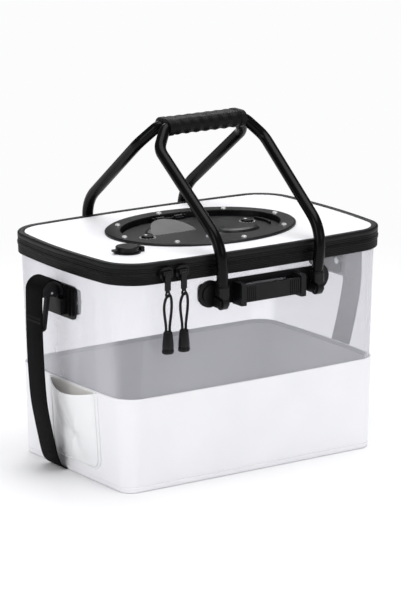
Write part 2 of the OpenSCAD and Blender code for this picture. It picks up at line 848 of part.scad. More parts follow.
module hatch_ring() {
    top = tub_h + flange_t;
    color(black) difference() {
        union() {
            loft([
                hatch_oval(tub_h, flange_w), hatch_oval(top - 1.2, flange_w), hatch_oval(top, flange_w - 1.6)
            ]);
            loft([hatch_oval(ledge_z - ledge_t, collar_t), hatch_oval(tub_h + 0.2, collar_t)]);
        }
        loft([hatch_oval(ledge_z, 0), hatch_oval(top - 1, 0), hatch_oval(top + nudge, 1.2)]);
        loft([hatch_oval(ledge_z - ledge_t - nudge, -ledge_w), hatch_oval(ledge_z + nudge, -ledge_w)]);
        hatch_screw_places() translate([0, 0, tub_h - 1]) cylinder(r = 2, h = 10, $fn = 16);
        // room for the door's hinge barrels at the back
        translate([hatch_x - door_hinge_w / 2 - 2, door_pin_y, ledge_z + 0.01])
            cube([door_hinge_w + 4, door_knuckle_r + 1.2, 20]);
    }
    // ears that hold the hinge pin
    color(black) for (s = [-1, 1]) difference() {
        translate([hatch_x + s * ear_x - ear_half_w, door_pin_y - ear_half_d, ledge_z])
            cube([2 * ear_half_w, 2 * ear_half_d, door_pin_z + 2.8 - ledge_z]);
        translate([hatch_x, door_pin_y, door_pin_z]) rod_x(door_pin_r + pin_gap, -door_hinge_w, door_hinge_w);
    }
}

module hatch_clamp_ring() {
    t = 2.4;
    color(black) difference() {
        loft([hatch_oval(lid_low - t, flange_w - 2), hatch_oval(lid_low, flange_w - 2)]);
        loft([
            hatch_oval(lid_low - t - nudge, collar_t + collar_gap),
            hatch_oval(lid_low + nudge, collar_t + collar_gap)
        ]);
        hatch_screw_places() translate([0, 0, lid_low - t - 1]) cylinder(r = 1.75, h = t + 2, $fn = 16);
    }
}

module hatch_gasket() {
    w = ledge_w - 2;
    color("#2a2a2c") difference() {
        loft([hatch_oval(ledge_z, -1), hatch_oval(ledge_z + gasket_t, -1)]);
        loft([hatch_oval(ledge_z - nudge, -1 - w), hatch_oval(ledge_z + gasket_t + nudge, -1 - w)]);
        // parted at the ears of the hinge
        for (s = [-1, 1])
            translate([hatch_x + s * ear_x - ear_half_w - 0.5, door_pin_y - ear_half_d - 0.5, ledge_z - 1])
                cube([2 * ear_half_w + 1, 20, 4]);
    }
}

module hatch_screws() {
    top = tub_h + flange_t;
    color(steel) hatch_screw_places() {
        translate([0, 0, lid_low - 4]) cylinder(r = 1.7, h = top - lid_low + 4);
        translate([0, 0, top]) difference() {
            cylinder(r1 = 3.6, r2 = 2.6, h = 1.5);
            translate([-0.4, -2.2, 0.9]) cube([0.8, 4.4, 1]);
            translate([-2.2, -0.4, 0.9]) cube([4.4, 0.8, 1]);
        }
    }
}

// flat-backed oval of the door
module door_plate(z0, z1) {
    intersection() {
        loft([hatch_oval(z0, -door_gap), hatch_oval(z1, -door_gap)]);
        translate([0, -door_relief, 0])
            loft([hatch_oval(z0 - nudge, -door_gap), hatch_oval(z1 + nudge, -door_gap)]);
        translate([hatch_x - door_a, hatch_y - door_b, z0 - 1])
            cube([2 * door_a, door_back - hatch_y + door_b, z1 - z0 + 2]);
    }
}

latch_hole_r = 4;
latch_knob_r = 8;
left_latch_at = [hatch_x - 80, hatch_y + 2];
right_latch_at = [hatch_x + 79, hatch_y + 10];
vent_at = [hatch_x - 12, hatch_y - 38];
vent_r = 5.5;

module hatch_door() {
    top = door_z + door_t;
    support_w = door_hinge_w / 2 - 8;
    color(black) difference() {
        union() {
            door_plate(door_z, top);
            // raised thumb boss on the left, with a facet that slopes to the front
            difference() {
                loft([
                    oval(top - 1, 36, 28, hatch_x - 36, hatch_y + 15, 32),
                    oval(top + 1.5, 33, 26, hatch_x - 35, hatch_y + 17, 32),
                    oval(top + 5, 27, 23, hatch_x - 33, hatch_y + 21, 32),
                    oval(top + 11, 23, 21, hatch_x - 32, hatch_y + 24, 32)
                ]);
                translate([hatch_x - 32, hatch_y + 24, top + 4.6]) rotate([14, 0, 0])
                    translate([-40, -40, 0]) cube([80, 80, 20]);
            }
            // low finger blade on the right
            loft([
                oval(top - 1, 31, 20, hatch_x + 42, hatch_y - 24, 32),
                oval(top + 2.4, 27, 16.5, hatch_x + 43, hatch_y - 22, 32),
                oval(top + 3.6, 22, 12, hatch_x + 44, hatch_y - 21, 32)
            ]);
            // stiffening ridge on the right
            translate([hatch_x + 60, hatch_y - 3, top - 0.5]) rotate([0, 0, -27])
                rotate_extrude(angle = 54) translate([36.5, 0]) square([2.4, 3.6]);
            // hinge barrels
            difference() {
                translate([hatch_x, door_pin_y, door_pin_z])
                    rod_x(door_knuckle_r, -door_hinge_w / 2, door_hinge_w / 2);
                translate([hatch_x - 8, door_pin_y - 6, door_z]) cube([16, 20, 20]);
            }
            for (s = [-1, 1])
                translate([hatch_x + s * (support_w / 2 + 8) - support_w / 2, door_back - 2, door_z])
                    cube([support_w, door_pin_y - door_back + 2, door_pin_z - door_z + 1]);
        }
        translate([hatch_x, door_pin_y, door_pin_z]) rod_x(door_pin_r + pin_gap, -door_hinge_w, door_hinge_w);
        for (p = [left_latch_at, right_latch_at])
            translate([p[0], p[1], door_z - 1]) cylinder(r = latch_hole_r + pin_gap, h = door_t + 2);
        translate([vent_at[0], vent_at[1], door_z - 1]) cylinder(r = vent_r - 2 + pin_gap, h = door_t + 2);
    }
}

module hatch_hinge_pin() {
    color(steel) translate([hatch_x, door_pin_y, door_pin_z])
        rod_x(door_pin_r, -door_hinge_w / 2 - 6, door_hinge_w / 2 + 6);
}

module vent_plug() {
    color(grey) translate([vent_at[0], vent_at[1], 0]) {
        translate([0, 0, door_z + door_t]) cylinder(r1 = vent_r, r2 = vent_r - 0.8, h = 1.6);
        translate([0, 0, door_z - 1.2]) cylinder(r = vent_r - 2, h = door_t + 1.2);
        translate([0, 0, door_z - 2.4]) cylinder(r = vent_r - 1.2, h = 2.3);
    }
}

// quarter-turn latch: knob, shaft and the tongue that turns under the ledge
module latch(at, turn) {
    top = door_z + door_t + running;
    tongue_top = ledge_z - ledge_t - running;
    tongue_l = inner_a - abs(at[0] - hatch_x) + 3;
    color(black) translate([at[0], at[1], 0]) {
        difference() {
            translate([0, 0, top]) cylinder(r1 = latch_knob_r, r2 = latch_knob_r - 0.6, h = 2.2);
            translate([-latch_knob_r, -0.9, top + 1.4]) cube([2 * latch_knob_r, 1.8, 2]);
        }
        translate([0, 0, tongue_top - 2.4]) cylinder(r = latch_hole_r, h = top - tongue_top + 2.5);
        translate([0, 0, tongue_top - 2.4]) cylinder(r = latch_hole_r + 2, h = 2.4);
        rotate([0, 0, turn]) translate([0, -4, tongue_top - 2.4]) cube([tongue_l, 8, 2.4]);
    }
}
module left_latch() {
    latch(left_latch_at, 90);
}
module right_latch() {
    latch(right_latch_at, -90);
}

// ---------- aerator port ----------
port_barrel_r = port_bore_d / 2 + 3.5;
port_flange_r = cap_d / 2 + 2.5;
port_flange_t = 1.8;
port_lip_h = 2.2;
cap_h = 6.4;
cap_z = tub_h + port_flange_t + running;
cap_hinge_x = port_x + cap_d / 2 + 4;
cap_hinge_z = cap_z + 2.6;
cap_pin_r = 1.2;

module port_base() {
    color(black) difference() {
        union() {
            translate([port_x, port_y, tub_h]) cylinder(r = port_flange_r, h = port_flange_t);
            translate([port_x, port_y, lid_low - 9]) cylinder(r = port_barrel_r, h = lid_t + 9.5);
            translate([port_x, port_y, tub_h])
                cylinder(r = port_barrel_r - 0.6, h = port_flange_t + port_lip_h);
            // hinge ears
            for (s = [-1, 1]) translate([cap_hinge_x - 2.4, port_y + s * 5.9 - 1.4, tub_h]) {
                cube([4.8, 2.8, cap_hinge_z - tub_h]);
                translate([2.4, 0, cap_hinge_z - tub_h]) rod_y(2.4, 0, 2.8);
            }
            translate([port_x, port_y - 7.3, tub_h]) cube([cap_hinge_x + 2.4 - port_x, 14.6, port_flange_t]);
        }
        port_hole(port_bore_d / 2);
        translate([cap_hinge_x, 0, cap_hinge_z]) rod_y(cap_pin_r + pin_gap, port_y - 12, port_y + 12);
    }
}

module port_nut() {
    color(black) difference() {
        translate([port_x, port_y, lid_low - 5]) cylinder(r = port_barrel_r + 4, h = 5, $fn = 6);
        port_hole(port_barrel_r + pin_gap);
    }
}

module port_cap() {
    reach = cap_hinge_x - port_x;
    color(black) difference() {
        union() {
            translate([port_x, port_y, cap_z]) cylinder(r = cap_d / 2, h = cap_h - 1);
            translate([port_x, port_y, cap_z + cap_h - 1])
                cylinder(r1 = cap_d / 2, r2 = cap_d / 2 - 1.2, h = 1);
            // lifting tab
            translate([port_x - cap_d / 2 - 6, port_y - 4, cap_z + 1]) cube([8, 8, 2.4]);
            // hinge arm and its pin
            translate([port_x, port_y - 4, cap_z + 0.4]) cube([reach, 8, 3.4]);
            translate([cap_hinge_x, port_y, cap_hinge_z]) rod_y(2.2, -4, 4);
            translate([cap_hinge_x, port_y, cap_hinge_z]) rod_y(cap_pin_r, -7.3, 7.3);
        }
        // hollow that covers the port's lip
        translate([port_x, port_y, cap_z - 1]) cylinder(r = port_barrel_r + 0.6, h = port_lip_h + 1.6);
    }
}

// ---------- bails, drawn at the front ----------
grip_y = tube_d / 2 + 0.35;
leg_foot_z = pivot_z + 22;
bail_corner_x = grip_l / 2 + 1;
shoulder_dy = 16;
shoulder_dz = 23;
elbow_y = pivot_y + elbow_out;
elbow_half = (leg_half + leg_half_wide) / 2;
bail_path = smooth([
    [bail_x - leg_half, -pivot_y, leg_foot_z],
    [bail_x - elbow_half, -elbow_y, elbow_z],
    [bail_x - leg_half_wide, -grip_y - shoulder_dy, grip_z - shoulder_dz],
    [bail_x - bail_corner_x, -grip_y, grip_z],
    [bail_x + bail_corner_x, -grip_y, grip_z],
    [bail_x + leg_half_wide, -grip_y - shoulder_dy, grip_z - shoulder_dz],
    [bail_x + elbow_half, -elbow_y, elbow_z],
    [bail_x + leg_half, -pivot_y, leg_foot_z]
], [30, 10, 8, 8, 10, 30]);

bail_side = [0, -0.62, 0.79];
pipe_sides = 10;
// the spigot fits inside the flats of the tube
spigot_r = (tube_d / 2 - tube_wall) * cos(180 / pipe_sides) - seat;

// an upright block with rounded corners, about its middle
module rounded_block(l, w, h, r) {
    translate([0, 0, -h / 2]) linear_extrude(h) rounded_bar(l, w, r);
}

module front_bail_tube() {
    color(black) pipe_along(bail_path, tube_d, tube_wall, bail_side, pipe_sides);
}
module rear_bail_tube() {
    at_rear() front_bail_tube();
}

// knuckle: a barrel between the ears, a block over them and a spigot inside the tube
module knuckle(x) {
    block_w = 15.2;
    block_d = 14.4;
    tube_from = leg_foot_z - pivot_z;
    block_h = tube_from - 0.9;
    arc_r = 9.8;
    spigot_l = 20;
    leg_h = elbow_z - leg_foot_z;
    lean_x = (x < bail_x ? -1 : 1) * (elbow_half - leg_half) / leg_h;
    lean_y = -elbow_out / leg_h;
    color(black) translate([x, -pivot_y, pivot_z]) difference() {
        union() {
            rod_x(barrel_r, -barrel_w / 2, barrel_w / 2);
            difference() {
                translate([0, 0, block_h / 2]) rounded_block(block_w, block_d, block_h, 4);
                for (s = [-1, 1]) scale([s, 1, 1]) rod_x(arc_r, barrel_w / 2, block_w);
                // groove under the end of the tube
                translate([0, 0, block_h - 1.6]) linear_extrude(0.8) difference() {
                    square(2 * block_w, center = true);
                    circle(r = tube_d / 2 - 0.6);
                }
            }
            multmatrix([[1, 0, lean_x, -lean_x * tube_from], [0, 1, lean_y, -lean_y * tube_from], [0, 0, 1, 0]])
                translate([0, 0, block_h - 1]) cylinder(r = spigot_r, h = spigot_l);
        }
        rod_x(pin_d / 2 + pin_gap, -block_w, block_w);
    }
}
module front_left_knuckle() {
    knuckle(bail_x - leg_half);
}
module front_right_knuckle() {
    knuckle(bail_x + leg_half);
}
module rear_left_knuckle() {
    at_rear() front_left_knuckle();
}
module rear_right_knuckle() {
    at_rear() front_right_knuckle();
}

// half of the grip: rounded outside, flat where the halves meet, with finger lobes below
grip_lobes = 7;
grip_cover = 2.6;
module front_grip_half() {
    n = 28;
    sides = 12;
    l = grip_l - 1;
    r = tube_d / 2 + grip_cover;
    meet = -running / 2;
    lobe = function (s) s < 0.07 || s > 0.93
        ? 1.5 : 1.1 - 1.1 * abs(cos(180 * grip_lobes * (s - 0.07) / 0.86));
    color(black) difference() {
        loft([
            for (i = [0:n]) let (s = i / n, x = bail_x - l / 2 + l * s, b = lobe(s))
                concat(
                    [[x, meet, grip_z + r + b * 0.5]],
                    [for (k = [0:sides]) let (a = 90 + 180 * k / sides)
                        [x, -grip_y + (r + b) * cos(a), grip_z + (r + b * (sin(a) < 0 ? 1 : 0.5)) * sin(a)]],
                    [[x, meet, grip_z - r - b]]
                )
        ]);
        // the bore follows the tube, which starts to bend inside the grip's ends
        tube_along(bail_path, tube_d + 2 * seat, bail_side, pipe_sides);
        translate([bail_x - l, -grip_y, grip_z - tube_d / 2 + 3]) cube([2 * l, grip_y, tube_d - 6]);
    }
}
module rear_grip_half() {
    at_rear() front_grip_half();
}

// ---------- zip sliders and pulls ----------
slider_h = 15;
slider_t = 3;
tab_w = 8;
tab_t = 2;
bridge_r = 1.2;
function teeth_face(x) = wall_y(x, zip_z, band_proud + teeth_proud);
function slider_back(x) = max(teeth_face(x - slider_w / 2), teeth_face(x + slider_w / 2)) + running;
function tab_y(x) = slider_back(x) + slider_t + 2.6;
tab_pin_z = zip_z + 1;
tab_eye_z = tab_pin_z - tab_l;
end_d = 15;

module slider(x) {
    color(black) translate([x, -slider_back(x), zip_z]) {
        rotate([90, 0, 0]) linear_extrude(slider_t) polygon([
            [-slider_w / 2, -slider_h * 0.3], [-slider_w * 0.3, -slider_h / 2],
            [slider_w * 0.3, -slider_h / 2],
            [slider_w / 2, -slider_h * 0.3], [slider_w / 2, slider_h * 0.3], [slider_w * 0.2, slider_h / 2],
            [-slider_w * 0.2, slider_h / 2], [-slider_w / 2, slider_h * 0.3]
        ]);
        // bridge that the pull hangs from
        for (s = [-1, 1]) translate([s * (tab_w / 2 + 1.7) - 1.2, -slider_t - 4.4, -1.5]) cube([2.4, 5, 5]);
        translate([0, -slider_t - 2.6, 1]) rod_x(bridge_r, -tab_w / 2 - 1, tab_w / 2 + 1);
    }
}
module left_slider() {
    slider(left_slider_x);
}
module right_slider() {
    slider(right_slider_x);
}

module pull_tab(x) {
    color(black) translate([x, -tab_y(x), 0]) difference() {
        union() {
            rotate([90, 0, 0]) translate([0, 0, -tab_t / 2]) linear_extrude(tab_t) difference() {
                union() {
                    translate([-tab_w / 2, tab_eye_z + 5]) square([tab_w, tab_l - 5]);
                    translate([0, tab_eye_z]) circle(r = 3.6);
                    translate([-2.6, tab_eye_z]) square([5.2, 8]);
                }
                translate([0, tab_eye_z]) circle(r = cord_d / 2 + 0.15);
            }
            // round end that turns on the slider's bridge
            translate([0, 0, tab_pin_z]) rod_x(2.2, -tab_w / 2, tab_w / 2);
        }
        translate([0, 0, tab_pin_z]) rod_x(bridge_r + pin_gap, -tab_w, tab_w);
    }
}
module left_pull_tab() {
    pull_tab(left_slider_x);
}
module right_pull_tab() {
    pull_tab(right_slider_x);
}

// cord loop through the tab's eye, gathered in its moulded end
loop_half = 5.4;
module pull_cord(x) {
    top = tab_eye_z;
    low = top - loop_l;
    y = -tab_y(x);
    d = tab_t / 2 + cord_d / 2 + 0.2;
    color(webbing) {
        translate([x, y, low - cord_end_l]) rotate_extrude() polygon([
            [0, 0], [end_d / 2 - 1, 0], [end_d / 2, 1.4], [end_d / 2 - 0.2, 6], [end_d / 2 - 1.4, 8],
            [end_d / 2 - 2.2, cord_end_l - 1], [end_d / 2 - 3, cord_end_l], [0, cord_end_l]
        ]);
    }
    color(webbing) for (s = [-1, 1]) tube_along(smooth([
        [x + s * 2.6, y, low], [x + s * 3, y, low + 8], [x + s * loop_half, y, low + 0.62 * loop_l],
        [x + s * 3.4, y - d, top - 5.5], [x, y - d, top]
    ], [4, 9, 3]), cord_d, [1, 0, 0], 8);
}
module left_pull_cord() {
    pull_cord(left_slider_x);
}
module right_pull_cord() {
    pull_cord(right_slider_x);
}

lower_tub();
clear_wall();
rim_hoop();
lower_zip_band();
lower_zip_teeth();
lower_hinge_tape();
pump_pocket();
pocket_border();
front_bracket();
rear_bracket();
front_backing_plate();
rear_backing_plate();
front_lift_bar();
rear_lift_bar();
bail_pivot_pins();
wall_screws();
left_clip_plate();
right_clip_plate();
left_clip_backing();
right_clip_backing();
left_strap_hook();
right_strap_hook();
lever_pins();
left_strap();
right_strap();
base_strap();
lid_panel();
lid_piping();
upper_zip_band();
upper_zip_teeth();
upper_hinge_tape();
hatch_ring();
hatch_clamp_ring();
hatch_gasket();
hatch_screws();
port_base();
port_nut();
hatch_door();
hatch_hinge_pin();
vent_plug();
left_latch();
right_latch();
port_cap();
front_bail_tube();
front_left_knuckle();
front_right_knuckle();
front_grip_half();
rear_bail_tube();
rear_left_knuckle();
rear_right_knuckle();
rear_grip_half();
left_slider();
right_slider();
left_pull_tab();
right_pull_tab();
left_pull_cord();
right_pull_cord();
left_release_lever();
right_release_lever();
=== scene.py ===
import bpy
from math import cos, exp, pi, radians, sin, sqrt
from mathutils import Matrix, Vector, noise


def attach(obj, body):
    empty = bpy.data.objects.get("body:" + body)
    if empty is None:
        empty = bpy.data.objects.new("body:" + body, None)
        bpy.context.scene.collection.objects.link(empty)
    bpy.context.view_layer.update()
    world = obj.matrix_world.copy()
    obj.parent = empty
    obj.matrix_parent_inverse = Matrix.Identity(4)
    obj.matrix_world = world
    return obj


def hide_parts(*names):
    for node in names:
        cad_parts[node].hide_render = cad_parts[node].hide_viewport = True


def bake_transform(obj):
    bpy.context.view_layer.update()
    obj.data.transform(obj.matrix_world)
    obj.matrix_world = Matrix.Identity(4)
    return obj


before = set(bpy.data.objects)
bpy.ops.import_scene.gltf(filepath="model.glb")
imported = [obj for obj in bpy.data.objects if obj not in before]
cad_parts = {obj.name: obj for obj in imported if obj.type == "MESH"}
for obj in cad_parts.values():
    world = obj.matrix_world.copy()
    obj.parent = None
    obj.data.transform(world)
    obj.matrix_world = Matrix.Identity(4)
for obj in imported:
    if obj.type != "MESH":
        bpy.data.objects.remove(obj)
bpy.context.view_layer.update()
MM = 0.001

# ---------- camera ----------
lens = bpy.data.cameras.new("photo_camera")
lens.lens = 198.28
lens.sensor_width = 36
lens.clip_end = 60
camera = bpy.data.objects.new("photo_camera", lens)
camera.location = (-2.31722, -3.39363, 1.21038)
camera.rotation_euler = Vector((0.5480, 0.8015, -0.2396)).to_track_quat("-Z", "Y").to_euler()
bpy.context.collection.objects.link(camera)
bpy.context.scene.camera = camera
bpy.context.scene.view_settings.view_transform = "Standard"

# ---------- sizes of the bucket, in millimetres ----------
TUB_H, FOOT_L, FOOT_D, FLARE = 292, 380.6, 244, 9.7
FOOT_R, RIM_R, SIDE_BOW, FRONT_BOW, FOOT_BOW = 18, 38, 11.4, 8, 0.4
WHITE_H, FLOOR_T, SHEET_T, SEAM_H = 121, 4, 1.8, 7
ZIP_Z, BAND_PROUD, TEETH_H = 279, 2.2, 1.65
LOW_BAND_Z, LOW_TEETH_Z, HIGH_TEETH_Z = 265.8, 277.2, 279.15
CLEAR_OUT, CLEAR_T = -1.9, 1.2
HATCH_X, HATCH_Y, COLLAR_A, COLLAR_B = 3, -1, 113.8, 81.8
LID_LOW, PIPING_W = 288.2, 6.5
SCREW_A, SCREW_B, SCREW_TURN = 119, 87, 3
PORT_X, PORT_Y = -152, -67
BAIL_X, LEG_HALF, LEG_WIDE, PIVOT_Y, PIVOT_Z = 4.5, 72, 80, 150.884, 233.5
ELBOW_Y, ELBOW_Z, GRIP_Z, GRIP_L, TUBE_D, GRIP_Y = 154.884, 306.5, 428.5, 118, 14.5, 7.6


# ---------- materials ----------
def colour(code):
    """Linear colour of an sRGB hex code."""
    c = [int(code[i:i + 2], 16) / 255 for i in (1, 3, 5)]
    return (*[v / 12.92 if v <= 0.04045 else ((v + 0.055) / 1.055) ** 2.4 for v in c], 1)


def add(tree, kind, settings=None, links=None):
    """A node with its settings and links. A setting is an attribute or, by name or number, an input."""
    n = tree.nodes.new(kind)
    for key, value in (settings or {}).items():
        if isinstance(key, int) or (key in n.inputs and not hasattr(n, key)):
            n.inputs[key].default_value = value
        else:
            setattr(n, key, value)
    for key, (source, out) in (links or {}).items():
        tree.links.new(source.outputs[out], n.inputs[key])
    return n


def new_material(name, settings):
    """A material whose shader has these settings. Returns it, its tree, its shader and its coordinates."""
    m = bpy.data.materials.new(name)
    m.use_nodes = True
    t = m.node_tree
    shader = t.nodes["Principled BSDF"]
    for key, value in settings.items():
        shader.inputs[key].default_value = value
    return m, t, shader, add(t, "ShaderNodeTexCoord")


def tone(t, shader, source, low, high, start=0.35, end=0.65):
    """Colour that drifts between two tones with a pattern."""
    ramp = add(t, "ShaderNodeValToRGB", links={"Fac": (source, 0)})
    for k, (place, code) in enumerate(((start, low), (end, high))):
        ramp.color_ramp.elements[k].position = place
        ramp.color_ramp.elements[k].color = colour(code)
    t.links.new(ramp.outputs["Color"], shader.inputs["Base Color"])
    return ramp


def sheen_range(t, shader, source, low, high):
    """Roughness that drifts with a pattern."""
    spread = add(t, "ShaderNodeMapRange", {"To Min": low, "To Max": high}, {"Value": (source, 0)})
    t.links.new(spread.outputs["Result"], shader.inputs["Roughness"])


def relief(t, shader, layers):
    """Bumps on top of each other: (pattern, output, height in metres)."""
    last = None
    for source, out, height in layers:
        links = {"Height": (source, out)}
        if last:
            links["Normal"] = (last, "Normal")
        last = add(t, "ShaderNodeBump", {"Strength": 1.0, "Distance": height}, links)
    t.links.new(last.outputs["Normal"], shader.inputs["Normal"])


def white_eva(name="calendered_white_EVA_sheet", low="#f0f0f4", high="#f4f4f7", rough=(0.34, 0.44)):
    """Calendered EVA sheet: glossy, soft and white, with a fine grain and long shallow waves from welding."""
    m, t, s, at = new_material(name, {"IOR": 1.49, "Coat Weight": 0.2, "Coat Roughness": 0.18})
    grain = add(t, "ShaderNodeTexNoise", {"Scale": 1 / (0.9 * MM), "Detail": 3.0}, {"Vector": (at, "Object")})
    waves = add(t, "ShaderNodeTexNoise", {"Scale": 1 / (70 * MM), "Detail": 1.5}, {"Vector": (at, "Object")})
    tone(t, s, waves, low, high)
    sheen_range(t, s, waves, *rough)
    relief(t, s, [(grain, 0, 0.02 * MM), (waves, 0, 0.08 * MM)])
    return m


def clear_pvc():
    """Press-polished clear PVC film: clear face on, glossy, and milky at a glancing angle."""
    m, t, s, at = new_material("press_polished_clear_PVC_film", {
        "Base Color": colour("#e6e6eb"), "Roughness": 0.08, "IOR": 1.53})
    waves = add(t, "ShaderNodeTexNoise", {"Scale": 1 / (60 * MM), "Detail": 2.0}, {"Vector": (at, "Object")})
    relief(t, s, [(waves, 0, 2.4 * MM)])
    facing = add(t, "ShaderNodeLayerWeight", {"Blend": 0.28})
    veil = add(t, "ShaderNodeMapRange", {"From Min": 0.05, "From Max": 0.8, "To Min": 0.08, "To Max": 0.72},
               {"Value": (facing, "Facing")})
    through = add(t, "ShaderNodeBsdfTransparent", {"Color": colour("#fefeff")})
    mix = add(t, "ShaderNodeMixShader", links={0: (veil, "Result"), 1: (through, 0), 2: (s, 0)})
    t.links.new(mix.outputs[0], t.nodes["Material Output"].inputs["Surface"])
    return m


def moulded_black(name="satin_moulded_black_polypropylene", low="#0b0b0d", high="#121214",
                  rough=(0.30, 0.42)):
    """Injection-moulded polypropylene: near black, satin, with a fine spark-eroded texture."""
    m, t, s, at = new_material(name, {"IOR": 1.49, "Specular IOR Level": 0.22})
    spark = add(t, "ShaderNodeTexNoise", {"Scale": 1 / (0.7 * MM), "Detail": 4.0}, {"Vector": (at, "Object")})
    flow = add(t, "ShaderNodeTexNoise", {"Scale": 1 / (22 * MM), "Detail": 2.0}, {"Vector": (at, "Object")})
    tone(t, s, flow, low, high)
    sheen_range(t, s, flow, *rough)
    relief(t, s, [(spark, 0, 0.05 * MM)])
    return m


def coated_tube():
    """Powder-coated aluminium tube: satin black with a slight orange peel."""
    m, t, s, at = new_material("satin_powder_coated_tube", {"IOR": 1.52, "Specular IOR Level": 0.12})
    peel = add(t, "ShaderNodeTexVoronoi", {"Scale": 1 / (2.2 * MM)}, {"Vector": (at, "Object")})
    rub = add(t, "ShaderNodeTexNoise", {"Scale": 1 / (35 * MM), "Detail": 3.0}, {"Vector": (at, "Object")})
    tone(t, s, rub, "#060607", "#0a0a0b")
    sheen_range(t, s, rub, 0.2, 0.28)
    relief(t, s, [(peel, 0, 0.015 * MM)])
    return m


def grip_rubber():
    """Moulded grip of soft rubber: dark, almost dull, with a pebbled skin."""
    m, t, s, at = new_material("pebbled_moulded_grip_rubber", {"IOR": 1.52, "Specular IOR Level": 0.15})
    pebble = add(t, "ShaderNodeTexVoronoi", {"Scale": 1 / (1.2 * MM)}, {"Vector": (at, "Object")})
    dust = add(t, "ShaderNodeTexNoise", {"Scale": 1 / (12 * MM), "Detail": 4.0}, {"Vector": (at, "Object")})
    tone(t, s, dust, "#08080a", "#101012")
    sheen_range(t, s, dust, 0.42, 0.6)
    relief(t, s, [(pebble, 0, 0.12 * MM)])
    return m


def edge_tape(name="woven_black_zip_tape", low="#09090a", high="#121214"):
    """Coated polyester tape: black, with the fine diagonal of its weave and a faint sheen."""
    m, t, s, at = new_material(name, {"IOR": 1.5, "Specular IOR Level": 0.22})
    # threads are 0.5 mm apart and drawn at 1.4 mm, so that they show
    turned = add(t, "ShaderNodeMapping", {"Rotation": (0.6, 0.5, 0.7)}, {"Vector": (at, "Object")})
    weave = add(t, "ShaderNodeTexWave", {"Scale": 1 / (1.4 * MM) / 20, "Distortion": 0.4, "Detail": 1.0},
                {"Vector": (turned, 0)})
    fuzz = add(t, "ShaderNodeTexNoise", {"Scale": 1 / (4 * MM), "Detail": 5.0}, {"Vector": (at, "Object")})
    tone(t, s, fuzz, low, high)
    sheen_range(t, s, fuzz, 0.42, 0.6)
    relief(t, s, [(weave, "Fac", 0.12 * MM), (fuzz, 0, 0.05 * MM)])
    return m


def strap_webbing():
    """Woven polypropylene webbing: black, dull, with ribs across the strap and rows of picks along it."""
    m, t, s, at = new_material("woven_black_polypropylene_webbing", {"IOR": 1.49,
                                                                     "Specular IOR Level": 0.06})
    # the picks are 1.2 mm apart and drawn at 2.4 mm, so that they show
    split = add(t, "ShaderNodeSeparateXYZ", links={"Vector": (at, "UV")})
    ribs = [add(t, "ShaderNodeMath", {"operation": "SINE"}, {0: (
        add(t, "ShaderNodeMath", {"operation": "MULTIPLY", 1: 2 * pi / pitch}, {0: (split, axis)}), 0)})
        for axis, pitch in (("X", 2.4 * MM), ("Y", 2.0 * MM))]
    weave = add(t, "ShaderNodeMath", {"operation": "MULTIPLY"}, {0: (ribs[0], 0), 1: (ribs[1], 0)})
    fuzz = add(t, "ShaderNodeTexNoise", {"Scale": 1 / (5 * MM), "Detail": 6.0}, {"Vector": (at, "Object")})
    tone(t, s, fuzz, "#040405", "#0b0b0c")
    sheen_range(t, s, fuzz, 0.6, 0.8)
    relief(t, s, [(weave, 0, 0.22 * MM), (fuzz, 0, 0.08 * MM)])
    return m


def braided_cord():
    """Braided polyester cord: black, with the small diamonds of its plaits and painted shade in the grooves
    between them.
    """
    m, t, s, at = new_material("braided_black_polyester_cord", {"IOR": 1.5, "Specular IOR Level": 0.2})
    plait = [add(t, "ShaderNodeTexWave", {"Scale": 1 / (2.0 * MM) / 20, "bands_direction": "Z"}, {"Vector": (
        add(t, "ShaderNodeMapping", {"Rotation": (0, turn, 0)}, {"Vector": (at, "Object")}), 0)})
        for turn in (0.7, -0.7)]
    diamonds = add(t, "ShaderNodeMath", {"operation": "MAXIMUM"},
                   {0: (plait[0], "Fac"), 1: (plait[1], "Fac")})
    # darker where the plait relief is low: painted shade in the grooves between the plaits
    tone(t, s, diamonds, "#070708", "#121214", 0.2, 0.8)
    sheen_range(t, s, diamonds, 0.5, 0.65)
    relief(t, s, [(diamonds, 0, 0.2 * MM)])
    return m


def turned_steel(name="turned_stainless_steel", metallic=1.0, low="#b9bbbf", high="#d6d7d9"):
    """Turned stainless steel: bright, with fine lathe lines."""
    m, t, s, at = new_material(name, {"Metallic": metallic})
    lines = add(t, "ShaderNodeTexNoise", {"Scale": 1 / (0.6 * MM), "Detail": 2.0}, {"Vector": (at, "Object")})
    tone(t, s, lines, low, high)
    sheen_range(t, s, lines, 0.2, 0.34)
    relief(t, s, [(lines, 0, 0.02 * MM)])
    return m


def moulded_rubber(name, low, high):
    """Moulded rubber: even colour, dull, with a soft grain."""
    m, t, s, at = new_material(name, {"IOR": 1.52})
    grain = add(t, "ShaderNodeTexNoise", {"Scale": 1 / (1.5 * MM), "Detail": 3.0}, {"Vector": (at, "Object")})
    tone(t, s, grain, low, high)
    sheen_range(t, s, grain, 0.45, 0.6)
    relief(t, s, [(grain, 0, 0.05 * MM)])
    return m


